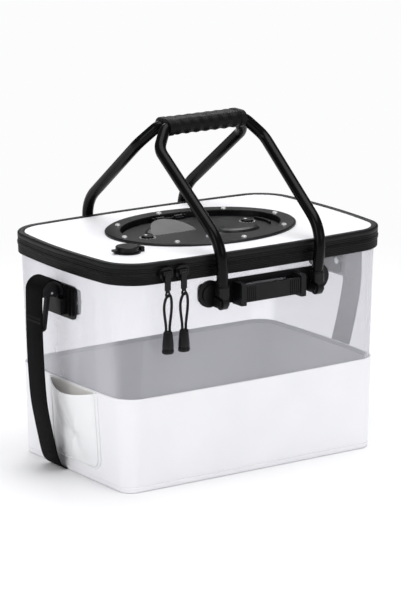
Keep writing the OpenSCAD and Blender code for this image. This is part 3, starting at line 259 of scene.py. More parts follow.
WHITE = white_eva()
POCKET_WHITE = white_eva("soft_white_PVC_pocket_sheet", "#ebecee", "#f3f4f5", (0.26, 0.36))
# the lining's warm tint is painted shade from inside the pocket, and its light tone is painted light lifted
# over the shade in the pocket's mouth
LINING = white_eva("white_PVC_lining_painted_warm_shade", "#efece8", "#f6f4f1", (0.35, 0.5))
CLEAR = clear_pvc()
BLACK = moulded_black()
HATCH_BLACK = moulded_black("glossy_moulded_black_hatch", "#0e0e10", "#161618", (0.26, 0.36))
TUBE = coated_tube()
GRIP = grip_rubber()
TAPE = edge_tape()
PIPING = edge_tape("coated_black_piping", "#0b0b0c", "#131315")
TEETH = moulded_black("glossy_nylon_zip_coil", "#0e0e10", "#18181a", (0.2, 0.3))
WEBBING = strap_webbing()
CORD = braided_cord()
STEEL = turned_steel()
ZINC = turned_steel("bright_zinc_plated_screws", 0.5, "#eceded", "#fafafa")
GREY = moulded_rubber("grey_moulded_rubber", "#9a9ca0", "#b0b2b5")
GASKET = moulded_rubber("black_sponge_gasket", "#161617", "#242426")
MARK = moulded_rubber("white_pad_printed_mark", "#e2e2e2", "#f0f0f0")


# ---------- making meshes ----------
def piece(name, points, faces, material, body, nodes=(), crease=35, uvs=None):
    """A mesh piece from points in millimetres. It rides a body and stands for CAD nodes."""
    mesh = bpy.data.meshes.new(name)
    mesh.from_pydata([Vector(p) * MM for p in points], [], faces)
    if uvs:
        layer = mesh.uv_layers.new(name="Along")
        for loop in mesh.loops:
            layer.data[loop.index].uv = [v * MM for v in uvs[loop.vertex_index]]
    mesh.validate()
    mesh.shade_smooth()
    mesh.set_sharp_from_angle(angle=radians(crease))
    mesh.materials.append(material)
    o = bpy.data.objects.new(name, mesh)
    bpy.context.collection.objects.link(o)
    if nodes:
        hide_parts(*nodes)
    if body:
        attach(o, body)
    return o


def stretch(rings, around=True, along=False, cap=False):
    """Points and faces of a skin through rings of points. It may close around, along, or with end caps."""
    n, m = len(rings[0]), len(rings)
    points = [p for r in rings for p in r]
    faces = []
    for k in range(m if along else m - 1):
        a, b = k * n, (k + 1) % m * n
        for i in range(n if around else n - 1):
            j = (i + 1) % n
            faces.append((a + i, a + j, b + j, b + i))
    if cap:
        faces.append(tuple(reversed(range(n))))
        faces.append(tuple(range((m - 1) * n, m * n)))
    return points, faces


def outline(z, out, side=12, corner=12):
    """The tub's outline at a height, moved outwards."""
    s = z / TUB_H
    hx, hy = FOOT_L / 2 + FLARE * s + out, FOOT_D / 2 + FLARE * s + out
    r = FOOT_R + (RIM_R - FOOT_R) * s + out
    quarter = [(hx, (hy - r) * k / side) for k in range(side)]
    quarter += [(hx - r + r * cos(pi / 2 * k / corner), hy - r + r * sin(pi / 2 * k / corner))
                for k in range(corner + 1)]
    quarter += [((hx - r) * (1 - k / side), hy) for k in range(1, side)]
    half = quarter + [(0, hy)] + [(-x, y) for x, y in reversed(quarter[1:])]
    bx, by = (FOOT_BOW + (b - FOOT_BOW) * s for b in (SIDE_BOW, FRONT_BOW))
    return [(x + bx * x / hx * (1 - (y / hy) ** 2), y + by * y / hy * (1 - (x / hx) ** 2), z)
            for x, y in half + [(-x, -y) for x, y in half]]


def wall_x(y, z, out=0):
    hx, hy = FOOT_L / 2 + FLARE * z / TUB_H + out, FOOT_D / 2 + FLARE * z / TUB_H + out
    return hx + (FOOT_BOW + (SIDE_BOW - FOOT_BOW) * z / TUB_H) * (1 - (y / hy) ** 2)


def wall_y(x, z, out=0):
    hx, hy = FOOT_L / 2 + FLARE * z / TUB_H + out, FOOT_D / 2 + FLARE * z / TUB_H + out
    return hy + (FOOT_BOW + (FRONT_BOW - FOOT_BOW) * z / TUB_H) * (1 - (x / hx) ** 2)


def band(name, profile, material, body, nodes=(), crease=35):
    """A closed band round the tub whose section is a list of (height, offset outwards)."""
    points, faces = stretch([outline(z, out) for z, out in profile], along=True)
    return piece(name, points, faces, material, body, nodes, crease)


def sweep(path, section, steady):
    """Rings of a section swept along a path; the section's first axis stays close to a steady direction."""
    rings = []
    for i, p in enumerate(path):
        t = (path[min(i + 1, len(path) - 1)] - path[max(i - 1, 0)]).normalized()
        u = (steady - t * steady.dot(t)).normalized()
        w = t.cross(u)
        rings.append([p + u * a + w * b for a, b in section])
    return rings


def disc(radius, n=20):
    return [(radius * cos(2 * pi * k / n), radius * sin(2 * pi * k / n)) for k in range(n)]


def bends(points, reach, n=12):
    """A path whose corners are eased over the given reaches."""
    points = [Vector(p) for p in points]
    path = [points[0]]
    for i in range(1, len(points) - 1):
        a, b, c = points[i - 1:i + 2]
        start, end = b + (a - b).normalized() * reach[i - 1], b + (c - b).normalized() * reach[i - 1]
        path += [start * (1 - k / n) ** 2 + b * 2 * k / n * (1 - k / n) + end * (k / n) ** 2
                 for k in range(n + 1)]
    return path + [points[-1]]


def flow(points, n=6):
    """A smooth curve through points."""
    p = [Vector(q) for q in points]
    p = [2 * p[0] - p[1]] + p + [2 * p[-1] - p[-2]]
    out = []
    for i in range(1, len(p) - 2):
        for k in range(n):
            t = k / n
            out.append(0.5 * (2 * p[i] + (p[i + 1] - p[i - 1]) * t
                              + (2 * p[i - 1] - 5 * p[i] + 4 * p[i + 1] - p[i + 2]) * t * t
                              + (3 * p[i] - p[i - 1] - 3 * p[i + 1] + p[i + 2]) * t ** 3))
    return out + [p[-2]]


# ---------- white lower tub ----------
def tub_profile():
    """Section of the tub from the middle of its foot, up the outside, over the hem and down the inside."""
    outside = [(0, -4), (0, -2.2), (0.5, -1.1), (1.6, -0.3), (3, 0), (SEAM_H - 0.6, 0), (SEAM_H - 0.1, -0.55),
               (SEAM_H + 0.7, -0.55), (SEAM_H + 1.3, 0)]
    outside += [(SEAM_H + 1.3 + (WHITE_H - 6 - SEAM_H) * k / 10, 0) for k in range(1, 11)]
    hem = [(WHITE_H - 3.6, 0.15), (WHITE_H - 0.7, 0.2), (WHITE_H - 0.2, -0.1), (WHITE_H, -0.7)]
    inside = [(WHITE_H, -SHEET_T), (WHITE_H - 4, -SHEET_T), (60, -SHEET_T), (12, -SHEET_T),
              (FLOOR_T + 2, -SHEET_T - 0.8), (FLOOR_T, -SHEET_T - 3)]
    return outside + hem + inside


rings = [outline(z, out) for z, out in tub_profile()]
points, faces = stretch(rings, cap=True)
tub = piece("white_tub_shell", points, faces, WHITE, None, ["lower_tub"])
# the strap runs under the foot in a shallow channel
CHANNEL = ((13.8, -2), (54.2, -2), (54.2, 2.2), (13.8, 2.2))  # its section in Y and Z
channel_points, channel_faces = stretch([[(x, y, z) for y, z in CHANNEL] for x in (-260, 260)], cap=True)
channel = piece("channel_tool", channel_points, channel_faces, WHITE, "tub")
cut = tub.modifiers.new("strap_channel", "BOOLEAN")
cut.object, cut.solver = channel, "EXACT"
bpy.context.view_layer.update()
shaped = bpy.data.meshes.new_from_object(tub.evaluated_get(bpy.context.evaluated_depsgraph_get()))
tub.modifiers.clear()
tub.data = shaped
shaped.shade_smooth()
shaped.set_sharp_from_angle(angle=radians(35))
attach(tub, "tub")
bpy.data.objects.remove(channel)

# ---------- clear wall ----------
top = LOW_TEETH_Z - 1


def waved(z, out, depth=0.35):
    """The film's outline with the shallow buckles that clear film keeps from being folded."""
    share = sin(pi * (z - WHITE_H + 5) / (top - WHITE_H + 5)) ** 0.5 if WHITE_H - 5 < z < top else 0
    return [(x * (1 + d), y * (1 + d), z) for x, y, z in outline(z, out)
            for d in [share * depth / 160 * noise.noise(Vector((x / 70, y / 70, z / 55)))]]


levels = [WHITE_H - 5 + (top - WHITE_H + 5) * k / 22 for k in range(23)]
rings = [waved(z, CLEAR_OUT) for z in levels] + [waved(z, CLEAR_OUT - CLEAR_T) for z in reversed(levels)]
points, faces = stretch(rings, along=True)
piece("clear_film_wall", points, faces, CLEAR, "tub", ["clear_wall"])

# ---------- zip bands, piping and lid ----------
RIB = 0.55


def ribbed(z0, z1, count):
    """Outer face of a ribbed tape between two heights."""
    step = (z1 - z0) / count
    return [q for k in range(count) for q in ((z0 + (k + 0.08) * step, BAND_PROUD - RIB),
                                              (z0 + (k + 0.3) * step, BAND_PROUD),
                                              (z0 + (k + 0.78) * step, BAND_PROUD),
                                              (z0 + (k + 0.96) * step, BAND_PROUD - RIB))]


band("lower_zip_tape", [(LOW_BAND_Z, -1.8), (LOW_BAND_Z, BAND_PROUD - RIB)]
     + ribbed(LOW_BAND_Z, LOW_TEETH_Z, 5)
     + [(LOW_TEETH_Z, BAND_PROUD - RIB), (LOW_TEETH_Z, -1.8)], TAPE, "tub", ["lower_zip_band"])
PIPING_LOW = LID_LOW - 2
band("upper_zip_tape", [(HIGH_TEETH_Z + TEETH_H, -1.8), (HIGH_TEETH_Z + TEETH_H, BAND_PROUD - RIB)]
     + ribbed(HIGH_TEETH_Z + TEETH_H, PIPING_LOW - 0.1, 2)
     + [(PIPING_LOW - 0.1, BAND_PROUD - RIB), (PIPING_LOW - 0.1, -1.8)],
     TAPE, "lid", ["upper_zip_band"])
band("lid_edge_piping", [
    (PIPING_LOW, -8.9), (PIPING_LOW, BAND_PROUD - 0.5), (PIPING_LOW + 0.5, BAND_PROUD), (290.8, BAND_PROUD),
    (291.7, BAND_PROUD - 0.3), (292.5, BAND_PROUD - 1.1), (292.9, BAND_PROUD - 2.4), (293.0, -2), (292.9, -4),
    (292.6, -5.4), (292.1, -6.2), (291.9, -PIPING_W), (LID_LOW, -PIPING_W), (LID_LOW, -8.9)],
    PIPING, "lid", ["lid_piping"], 50)

HINGE_HALF = 110


def zip_row(name, z, body, node, shift):
    """One row of the coil: a core band with a tooth every 2.4 mm, left open where the hinge tape is."""
    ring = outline(z, 2.0, 24, 14)
    path = [Vector((x, y, 0)) for x, y, _ in ring]
    path = [p for p in path if not (p.y > 0 and abs(p.x) < HINGE_HALF)]
    start = max(range(len(path)), key=lambda i: (path[i] - path[i - 1]).length)
    path = path[start:] + path[:start]
    low, high = z, z + TEETH_H
    points, faces = stretch([[(x, y, low), (x, y, high), (x * q, y * q, high), (x * q, y * q, low)]
                             for x, y, _ in path for q in [(1 - 3.6 / Vector((x, y)).length)]], cap=True)
    run, teeth_at = shift, []
    for a, b in zip(path, path[1:]):
        length = (b - a).length
        while run < length:
            teeth_at.append((a.lerp(b, run / length), (b - a).normalized()))
            run += 2.4
        run -= length
    for p, t in teeth_at:
        n = Vector((t.y, -t.x, 0))
        base = len(points)
        for h in (low + 0.1, high - 0.1):
            for along, out in ((-0.75, 0), (0.75, 0), (0.55, 0.95), (-0.55, 0.95)):
                q = p + t * along + n * out
                points.append((q.x, q.y, h))
        faces += [tuple(base + k for k in f) for f in (
            (3, 2, 1, 0), (4, 5, 6, 7), (0, 1, 5, 4), (1, 2, 6, 5), (2, 3, 7, 6), (3, 0, 4, 7))]
    return piece(name, points, faces, TEETH, body, [node], 30)


zip_row("lower_zip_coil", LOW_TEETH_Z, "tub", "lower_zip_teeth", 0)
zip_row("upper_zip_coil", HIGH_TEETH_Z, "lid", "upper_zip_teeth", 1.2)

# one tape spans the fold at the back, between the tub and the lid
steps = [HINGE_HALF * (1 - k / 12) for k in range(25)]
heights = [271.2 + 14.6 * k / 24 for k in range(25)]
rings = [[(x, wall_y(x, ZIP_Z, BAND_PROUD + 0.15), z) for x in steps]
         + [(x, wall_y(x, ZIP_Z, BAND_PROUD + 0.85), z) for x in reversed(steps)] for z in heights]
points, faces = stretch(rings, cap=True)
hinge = piece("rear_hinge_tape", points, faces, TAPE, None,
              ["lower_hinge_tape", "upper_hinge_tape"])
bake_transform(hinge)


def lid_ring(z, share, out=-PIPING_W - 0.1, grow=0.6):
    """Between the hatch collar and the lid's edge."""
    ring = []
    for x, y, _ in outline(z, out):
        ax, ay = (x - HATCH_X) / (COLLAR_A + grow), (y - HATCH_Y) / (COLLAR_B + grow)
        q = Vector((ax, ay)).normalized()
        ex, ey = HATCH_X + (COLLAR_A + grow) * q.x, HATCH_Y + (COLLAR_B + grow) * q.y
        ring.append((ex + (x - ex) * share, ey + (y - ey) * share, z))
    return ring


shares = [0, 0.04, 0.12, 0.3, 0.5, 0.7, 0.88, 0.97, 1]
rings = [lid_ring(TUB_H - (0.25 if s == 1 else 0), s) for s in shares]
rings += [lid_ring(LID_LOW, s) for s in reversed(shares)]
points, faces = stretch(rings, along=True)
lid = piece("white_lid_sheet", points, [tuple(reversed(f)) for f in faces], WHITE, None,
            ["lid_panel"])
# holes for the air port and the hatch screws
tools = [(PORT_X, PORT_Y, 7.8)] + [(HATCH_X + SCREW_A * cos(a), HATCH_Y + SCREW_B * sin(a), 2.2)
                                   for a in (radians(SCREW_TURN + 45 * k) for k in range(8))]
tool_objects = []
for k, (x, y, r) in enumerate(tools):
    points, faces = stretch([[(x + a, y + b, z) for a, b in disc(r, 24)] for z in (280, 300)], cap=True)
    tool_objects.append(piece(f"hole_tool_{k}", points, faces, WHITE, "lid"))
    cut = lid.modifiers.new("hole", "BOOLEAN")
    cut.object, cut.solver = tool_objects[-1], "EXACT"
bpy.context.view_layer.update()
shaped = bpy.data.meshes.new_from_object(lid.evaluated_get(bpy.context.evaluated_depsgraph_get()))
lid.modifiers.clear()
lid.data = shaped
shaped.shade_smooth()
shaped.set_sharp_from_angle(angle=radians(35))
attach(lid, "lid")
for o in tool_objects:
    bpy.data.objects.remove(o)

# ---------- pocket on the left side ----------
POCKET = (-68, 40, 17, 119)  # front, back, foot and top of the border
BORDER_W, POCKET_R, POCKET_DEPTH = 8, 14, 15


def on_wall(y, z, out):
    return (-wall_x(y, z, out), y, z)


def pocket_edge(inset, n=14):
    """Path down the back edge of the pocket, along its foot and up the front edge."""
    y0, y1, z0, z1 = POCKET[0] + inset, POCKET[1] - inset, POCKET[2] + inset, POCKET[3]
    r = POCKET_R
    path = [(y0, z1 - (z1 - z0 - r) * k / n) for k in range(n)]
    path += [(y0 + r - r * cos(pi / 2 * k / 10), z0 + r - r * sin(pi / 2 * k / 10)) for k in range(11)]
    path += [(y0 + r + (y1 - y0 - 2 * r) * k / n, z0) for k in range(1, n)]
    path += [(y1 - r + r * sin(pi / 2 * k / 10), z0 + r - r * cos(pi / 2 * k / 10)) for k in range(11)]
    path += [(y1, z0 + r + (z1 - z0 - r) * k / n) for k in range(1, n + 1)]
    return path


# the border is a flat strip with two welded beads
section = [(-4, 0.1), (-4, 1.0), (-3.4, 1.25), (-2.6, 2.0), (-1.6, 2.3), (-0.7, 1.9), (-0.2, 1.2), (0.4, 1.2),
           (1.0, 1.9), (1.9, 2.35), (2.9, 2.1), (3.6, 1.3), (4, 0.9), (4, 0.1)]
path = pocket_edge(BORDER_W / 2)
rings = []
for i, (y, z) in enumerate(path):
    ty = path[min(i + 1, len(path) - 1)][0] - path[max(i - 1, 0)][0]
    tz = path[min(i + 1, len(path) - 1)][1] - path[max(i - 1, 0)][1]
    length = sqrt(ty * ty + tz * tz)
    ny, nz = tz / length, -ty / length
    rings.append([on_wall(y + ny * a, z + nz * a, out) for a, out in section])
points, faces = stretch(rings, cap=True)
piece("pocket_welded_border", points, faces, POCKET_WHITE, "tub", ["pocket_border"], 40)


def slack(u, v):
    """How far the pocket's sheet hangs out. u runs back and v up, both 0 to 1."""
    belly = max(sin(pi * u), 0) ** 0.8 * v ** 0.85 * POCKET_DEPTH
    fold = 2.2 * exp(-((u - 0.32 - 0.35 * v) / 0.1) ** 2) * sin(pi * min(v * 1.15, 1))
    crease = 1.4 * exp(-((v - 0.3 - 0.25 * u) / 0.09) ** 2) * sin(pi * u)
    # a V of soft creases that runs down to the middle of the foot
    left = exp(-((u - 0.18 - 0.42 * (1 - v)) / 0.045) ** 2) * sin(pi * min(1, v * 1.05)) ** 1.2
    right = exp(-((u - 0.86 + 0.28 * (1 - v)) / 0.05) ** 2) * sin(pi * min(1, v * 1.1)) ** 1.2
    return max(0.0, belly - fold - crease + 0.9 * left + 0.8 * right)


def pocket_place(u, v, extra):
    inset = BORDER_W * 0.55
    y0, y1, z0 = POCKET[0] + inset, POCKET[1] - inset, POCKET[2] + inset
    y = y0 + (y1 - y0) * u
    r, e = POCKET_R - inset / 2, min(y - y0, y1 - y)
    low = z0 + (r - sqrt(max(0, r * r - (r - e) ** 2)) if e < r else 0)
    high = POCKET[3] - 1 - 7 * sin(pi * u)
    return on_wall(y, low + (high - low) * v, 1.4 + slack(u, v) + extra)


NU, NV = 60, 44


def hem(v):
    """The folded hem below the mouth stands a little proud."""
    return 0.55 * max(0, min(1, (v - 0.925) / 0.012))


rings = []
for i in range(NU + 1):
    u = i / NU
    rings.append([pocket_place(u, j / NV, 1.1 + hem(j / NV)) for j in range(NV + 1)]
                 + [pocket_place(u, j / NV, 0) for j in range(NV, -1, -1)])
points, faces = stretch(rings, cap=True)
piece("pocket_sheet", points, faces, POCKET_WHITE, "tub", ["pump_pocket"], 60)
# the pocket's own back, which shows above the mouth; its warm tint is painted shade
rings = [[on_wall(y, z, out) for z, out in ((30, 0.15), (118.6, 0.15), (118.6, 0.75), (30, 0.75))]
         for y in [POCKET[0] + 7 + (POCKET[1] - POCKET[0] - 14) * k / 20 for k in range(21)]]
points, faces = stretch(rings, cap=True)
piece("pocket_back_lining", points, faces, LINING, "tub")

# ---------- shoulder strap ----------
STRAP_W, STRAP_T = 38, 1.6
SADDLE_X, SADDLE_Z, SADDLE_R = 230.102, 241.5, 15.9
DROP_X = SADDLE_X + SADDLE_R
# where the strap hangs: how far it has come in, how far back, and its height
FALL = [(0, 0, 200), (2, 2, 170), (7, 7, 130), (13, 12, 96), (22, 18, 66), (31, 24, 40), (38, 29, 22),
        (45, 33, 9)]
EDGE_X = FOOT_L / 2 - 2
UNDER_Y, UNDER_Z = 34, 1.15  # the strap under the foot
webbing_section = [(-18.6, -0.8), (0, -0.8), (18.6, -0.8), (19, -0.4), (19, 0.4), (18.6, 0.8), (0, 0.8),
                   (-18.6, 0.8), (-19, 0.4), (-19, -0.4)]


def webbing(name, path, nodes):
    """Flat webbing along a path, its width along Y, with the distance along it kept for the weave."""
    rings = sweep(path, webbing_section, Vector((0, 1, 0)))
    run, uvs = 0, []
    for i, p in enumerate(path):
        run += (p - path[i - 1]).length if i else 0
        uvs += [(run, a) for a, _ in webbing_section]
    points, faces = stretch(rings, cap=True)
    return piece(name, points, faces, WEBBING, "tub", nodes, 50, uvs)


for side, name in ((-1, "left_strap"), (1, "right_strap")):
    arc = [Vector((SADDLE_X + SADDLE_R * cos(radians(a)), 0, SADDLE_Z + SADDLE_R * sin(radians(a))))
           for a in range(180, -1, -9)]
    fall = flow([arc[-1]] + [(DROP_X - a, b, c) for a, b, c in FALL]
                + [(EDGE_X + 5.5, 33.5, 2.6), (EDGE_X, UNDER_Y, UNDER_Z)])
    path = [Vector((SADDLE_X - SADDLE_R, 0, SADDLE_Z - 7))] + arc + fall[1:]
    webbing(f"{name}_webbing", [Vector((side * p.x, p.y, p.z)) for p in path], [name])
    # two bar tacks close the loop
    for z in (204, 209):
        points, faces = [], []
        for k in range(26):
            y = -15 + 30 * k / 25
            base = len(points)
            for a, b, c in ((0, -0.9, 0), (0.5, -0.6, 0.9), (0.5, 0.6, 0.9), (0, 0.9, 0), (0.5, -0.6, -0.9),
                            (0.5, 0.6, -0.9)):
                points.append((side * (DROP_X + 0.75 + a), y + 0.7 * b, z + 1.6 * c))
            faces += [tuple(base + i for i in f) for f in ((0, 1, 2, 3), (0, 3, 5, 4))]
        piece(f"{name}_bar_tack_{z}", points, faces, CORD, "tub", (), 180)
webbing("under_strap_webbing", [Vector((x, UNDER_Y, UNDER_Z)) for x in (-EDGE_X + 0.1, 0, EDGE_X - 0.1)],
        ["base_strap"])

# ---------- bails and grip ----------
half_bail = [(LEG_HALF, PIVOT_Y, PIVOT_Z + 22), ((LEG_HALF + LEG_WIDE) / 2, ELBOW_Y, ELBOW_Z),
             (LEG_WIDE, GRIP_Y + 16, GRIP_Z - 23), (GRIP_L / 2 + 1, GRIP_Y, GRIP_Z)]
bail_path = bends([(BAIL_X - x, -y, z) for x, y, z in half_bail]
                  + [(BAIL_X + x, -y, z) for x, y, z in reversed(half_bail)], [30, 10, 8, 8, 10, 30])
LOBES, COVER, COLLAR = 7, 2.6, 0.07


def lobe(s):
    """How far the grip swells at a share of its length: a collar at each end and finger lobes between."""
    if s < COLLAR or s > 1 - COLLAR:
        edge = min(s, 1 - s)
        return 1.5 - 0.9 * max(0, 1 - edge / 0.012) ** 2
    return 1.15 - 1.15 * abs(cos(pi * LOBES * (s - COLLAR) / (1 - 2 * COLLAR))) ** 1.6


for turn, name in ((1, "front"), (-1, "rear")):
    path = [Vector((p.x, p.y * turn, p.z)) for p in bail_path]
    rings = sweep(path, disc(TUBE_D / 2), Vector((0, -0.62 * turn, 0.79)))
    inner = sweep(path, disc(TUBE_D / 2 - 1.2), Vector((0, -0.62 * turn, 0.79)))
    points, faces = stretch(rings + inner[::-1], along=True)
    piece(f"{name}_bail_bent_tube", points, faces, TUBE, f"{name}_bail",
          [f"{name}_bail_tube"], 50)
    rings = []
    for i in range(141):
        s = i / 140
        x, b, r = BAIL_X - (GRIP_L - 1) / 2 + (GRIP_L - 1) * s, lobe(s), TUBE_D / 2 + COVER
        ring = [(x, -0.15 * turn, GRIP_Z + r + b * 0.5)]
        for k in range(25):
            a = pi / 2 + pi * k / 24
            ring.append((x, turn * (-GRIP_Y + (r + b) * cos(a)),
                         GRIP_Z + (r + b * (1 if sin(a) < 0 else 0.5)) * sin(a)))
        ring.append((x, -0.15 * turn, GRIP_Z - r - b))
        rings.append(ring)
    points, faces = stretch(rings, cap=True)
    if turn < 0:
        faces = [tuple(reversed(f)) for f in faces]
    piece(f"{name}_grip_cover", points, faces, GRIP, f"{name}_bail", [f"{name}_grip_half"], 40)

# ---------- zip pulls ----------
TAB_L, LOOP_L, END_L, CORD_D = 27, 46, 28, 3.4
TAB_Y = {"left": 144.659, "right": 145.713}
for side, x in (("left", -144), ("right", -121)):
    y, eye = -TAB_Y[side], ZIP_Z + 1 - TAB_L
    low, d = eye - LOOP_L, 1 + CORD_D / 2 + 0.2
    path = []
    for s in (-1, 1):
        half = flow([(x + s * 2.6, y, low), (x + s * 2.9, y, low + 8), (x + s * 5.0, y, low + 0.5 * LOOP_L),
                     (x + s * 5.4, y - 0.1 * d, low + 0.72 * LOOP_L), (x + s * 4.0, y - 0.5 * d, eye - 5),
                     (x + s * 2.0, y - 0.85 * d, eye - 1.0), (x, y - d, eye + 0.2)])
        path = path + half if s < 0 else path + half[::-1][1:]
    points, faces = stretch(sweep(path, disc(CORD_D / 2, 14), Vector((0, 1, 0))), cap=True)
    piece(f"{side}_pull_loop", points, faces, CORD, f"pull_{side}", [f"{side}_pull_cord"], 60)
    # moulded end: a tapered oval with flats and a groove above its foot
    profile = [(0, 6.3), (0.6, 7.2), (1.6, 7.7), (5.0, 7.7), (5.6, 7.1), (6.6, 7.1), (7.2, 7.4), (12, 7.2),
               (20, 6.5), (26, 5.9), (27.4, 5.4), (28, 4.4)]
    rings = []
    for h, r in profile:
        rings.append([(x + r * q * cos(a), y + 0.86 * r * q * sin(a), low - END_L + h) for a, q in (
            (2 * pi * k / 48, 1 - 0.06 * (0.5 + 0.5 * cos(8 * 2 * pi * k / 48)) ** 4) for k in range(48))])
    points, faces = stretch(rings, cap=True)
    piece(f"{side}_pull_moulded_end", points, faces, BLACK, f"pull_{side}", [f"{side}_pull_cord"], 50)


# ---------- marks on the hatch ----------
def plate(name, outline_points, z0, z1, material, body):
    points, faces = stretch([[(x, y, z) for x, y in outline_points] for z in (z0, z1)], cap=True)
    return piece(name, points, faces, material, body)


DOOR_TOP = 288.6
LATCH_TOP = DOOR_TOP + 0.3 + 2.2
LATCHES = {"left": (-77, 1), "right": (82, 9)}
for side, (x, y) in LATCHES.items():
    body = f"latch_{side}"
    plate(f"{side}_latch_mark", [(x + a, y + b) for a, b in ((-1.6, 2.2), (1.6, 2.2), (1.8, 6), (-1.8, 6))],
          LATCH_TOP - 0.02, LATCH_TOP + 0.12, MARK, body)
    # a printed ring of short dashes lies round each latch
    for k in range(14):
        a, half = 2 * pi * k / 14, 0.13
        plate(f"{side}_latch_dash_{k}", [(x + q * cos(b), y + q * sin(b)) for q, b in (
            (9.4, a - half), (10.3, a - half), (10.3, a + half), (9.4, a + half))],
            DOOR_TOP - 0.02, DOOR_TOP + 0.1, MARK, "hatch")

# ---------- hard pieces straight from the CAD ----------
soften = bpy.data.node_groups.new("shade_by_angle", "GeometryNodeTree")
soften.interface.new_socket("Geometry", in_out="INPUT", socket_type="NodeSocketGeometry")
soften.interface.new_socket("Geometry", in_out="OUTPUT", socket_type="NodeSocketGeometry")
entry = add(soften, "NodeGroupInput")
angle = add(soften, "GeometryNodeInputMeshEdgeAngle")
flat = add(soften, "FunctionNodeCompare", {"operation": "LESS_EQUAL", 1: radians(28)}, {0: (angle, 0)})
edges = add(soften, "GeometryNodeSetShadeSmooth", {"domain": "EDGE"},
            {"Geometry": (entry, 0), "Shade Smooth": (flat, 0)})
faces_smooth = add(soften, "GeometryNodeSetShadeSmooth", {"domain": "FACE"}, {"Geometry": (edges, 0)})
add(soften, "NodeGroupOutput", links={0: (faces_smooth, 0)})

HARD = {
    "rim_hoop": BLACK, "front_bracket": BLACK, "rear_bracket": BLACK, "front_backing_plate": BLACK,
    "rear_backing_plate": BLACK, "front_lift_bar": BLACK, "rear_lift_bar": BLACK, "bail_pivot_pins": BLACK,
    "wall_screws": STEEL, "left_clip_plate": BLACK, "right_clip_plate": BLACK, "left_clip_backing": BLACK,
    "right_clip_backing": BLACK, "left_strap_hook": BLACK, "right_strap_hook": BLACK, "lever_pins": STEEL,
    "hatch_ring": HATCH_BLACK, "hatch_clamp_ring": BLACK, "hatch_gasket": GASKET, "hatch_screws": ZINC,
    "port_base": BLACK, "port_nut": BLACK, "hatch_door": HATCH_BLACK, "hatch_hinge_pin": HATCH_BLACK,
    "vent_plug": GREY,
    "left_latch": HATCH_BLACK, "right_latch": HATCH_BLACK, "port_cap": BLACK, "front_left_knuckle": BLACK,
    "front_right_knuckle": BLACK, "rear_left_knuckle": BLACK, "rear_right_knuckle": BLACK,
    "left_slider": TEETH,
    "right_slider": TEETH, "left_pull_tab": TEETH, "right_pull_tab": TEETH, "left_release_lever": BLACK,
    "right_release_lever": BLACK}
for name, material in HARD.items():
    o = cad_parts[name]
    if not o.material_slots:
        o.data.materials.append(material)
    for s in o.material_slots:
        s.link = "OBJECT"
        s.material = material
    o.modifiers.new("shade", "NODES").node_group = soften
    if name not in ("wall_screws", "hatch_gasket", "hatch_clamp_ring"):
        flats = o.modifiers.new("flats", "DECIMATE")
        flats.decimate_type, flats.angle_limit = "DISSOLVE", radians(0.6)
        edge = o.modifiers.new("edges", "BEVEL")
        edge.width, edge.segments, edge.limit_method = 0.45 * MM, 2, "ANGLE"
        edge.angle_limit, edge.harden_normals = radians(32), True

# ---------- floor and light ----------
floor_mesh = bpy.data.meshes.new("studio_floor")
floor_mesh.from_pydata([(-30, -30, 0), (30, -30, 0), (30, 30, 0), (-30, 30, 0)], [], [(0, 1, 2, 3)])
floor = bpy.data.objects.new("studio_floor", floor_mesh)
bpy.context.collection.objects.link(floor)
m, t, s, at = new_material("pale_studio_floor", {"Base Color": colour("#f1f2f3"), "Roughness": 0.9})
paper = add(t, "ShaderNodeTexNoise", {"Scale": 0.6, "Detail": 1.0}, {"Vector": (at, "Object")})
tone(t, s, paper, "#f3f3f5", "#f5f5f6")
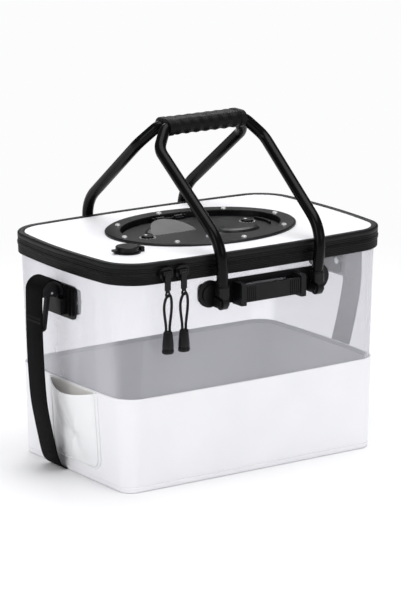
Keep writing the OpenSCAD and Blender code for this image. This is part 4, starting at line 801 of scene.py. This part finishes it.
# far from the bucket the floor fades into the backdrop, plain white to the camera and in reflections
far = add(t, "ShaderNodeVectorMath", {"operation": "LENGTH"}, {0: (at, "Object")})
fade = add(t, "ShaderNodeMapRange", {"interpolation_type": "SMOOTHSTEP", "From Min": 0.35, "From Max": 1.3},
           {"Value": (far, "Value")})
rays = add(t, "ShaderNodeLightPath")
shown = add(t, "ShaderNodeMath", {"operation": "MAXIMUM"},
            {0: (rays, "Is Camera Ray"), 1: (rays, "Is Glossy Ray")})
part = add(t, "ShaderNodeMath", {"operation": "MULTIPLY"}, {0: (shown, 0), 1: (fade, "Result")})
glow = add(t, "ShaderNodeEmission", {"Color": colour("#fcfcfd"), "Strength": 1.0})
mix = add(t, "ShaderNodeMixShader", links={0: (part, 0), 1: (s, 0), 2: (glow, 0)})
t.links.new(mix.outputs[0], t.nodes["Material Output"].inputs["Surface"])
floor_mesh.materials.append(m)

world = bpy.data.worlds.new("studio")
bpy.context.scene.world = world
world.use_nodes = True
wt = world.node_tree
paths = add(wt, "ShaderNodeLightPath")
seen = add(wt, "ShaderNodeMath", {"operation": "MAXIMUM"},
           {0: (paths, "Is Camera Ray"), 1: (paths, "Is Transmission Ray")})
light = wt.nodes["Background"]
light.inputs["Color"].default_value = (1, 1, 1, 1)
# mirror-like surfaces see a dimmer room, so that the softboxes draw clear highlights on the blacks
room = add(wt, "ShaderNodeMapRange", {"To Min": 0.55, "To Max": 0.14}, {"Value": (paths, "Is Glossy Ray")})
wt.links.new(room.outputs["Result"], light.inputs["Strength"])
backdrop = add(wt, "ShaderNodeBackground", {"Color": colour("#fcfcfd"), "Strength": 1.0})
mix = add(wt, "ShaderNodeMixShader", links={0: (seen, 0), 1: (light, 0), 2: (backdrop, 0)})
wt.links.new(mix.outputs[0], wt.nodes["World Output"].inputs["Surface"])


def softbox(name, place, aim, size, watts):
    lamp = bpy.data.lights.new(name, "AREA")
    lamp.shape, lamp.size, lamp.size_y, lamp.energy = "RECTANGLE", size[0], size[1], watts
    o = bpy.data.objects.new(name, lamp)
    o.location = place
    o.rotation_euler = (Vector(aim) - Vector(place)).to_track_quat("-Z", "Y").to_euler()
    bpy.context.collection.objects.link(o)


softbox("overhead_softbox", (0.2, -0.3, 2.6), (0, 0, 0.2), (2.0, 2.0), 44)
softbox("left_softbox", (-2.4, -0.6, 1.3), (0, 0, 0.2), (1.0, 1.8), 15)
softbox("front_softbox", (0.6, -2.6, 1.3), (0, 0, 0.2), (1.4, 1.0), 8)
softbox("back_softbox", (1.0, 2.0, 2.0), (0, 0, 0.2), (1.6, 1.0), 20)
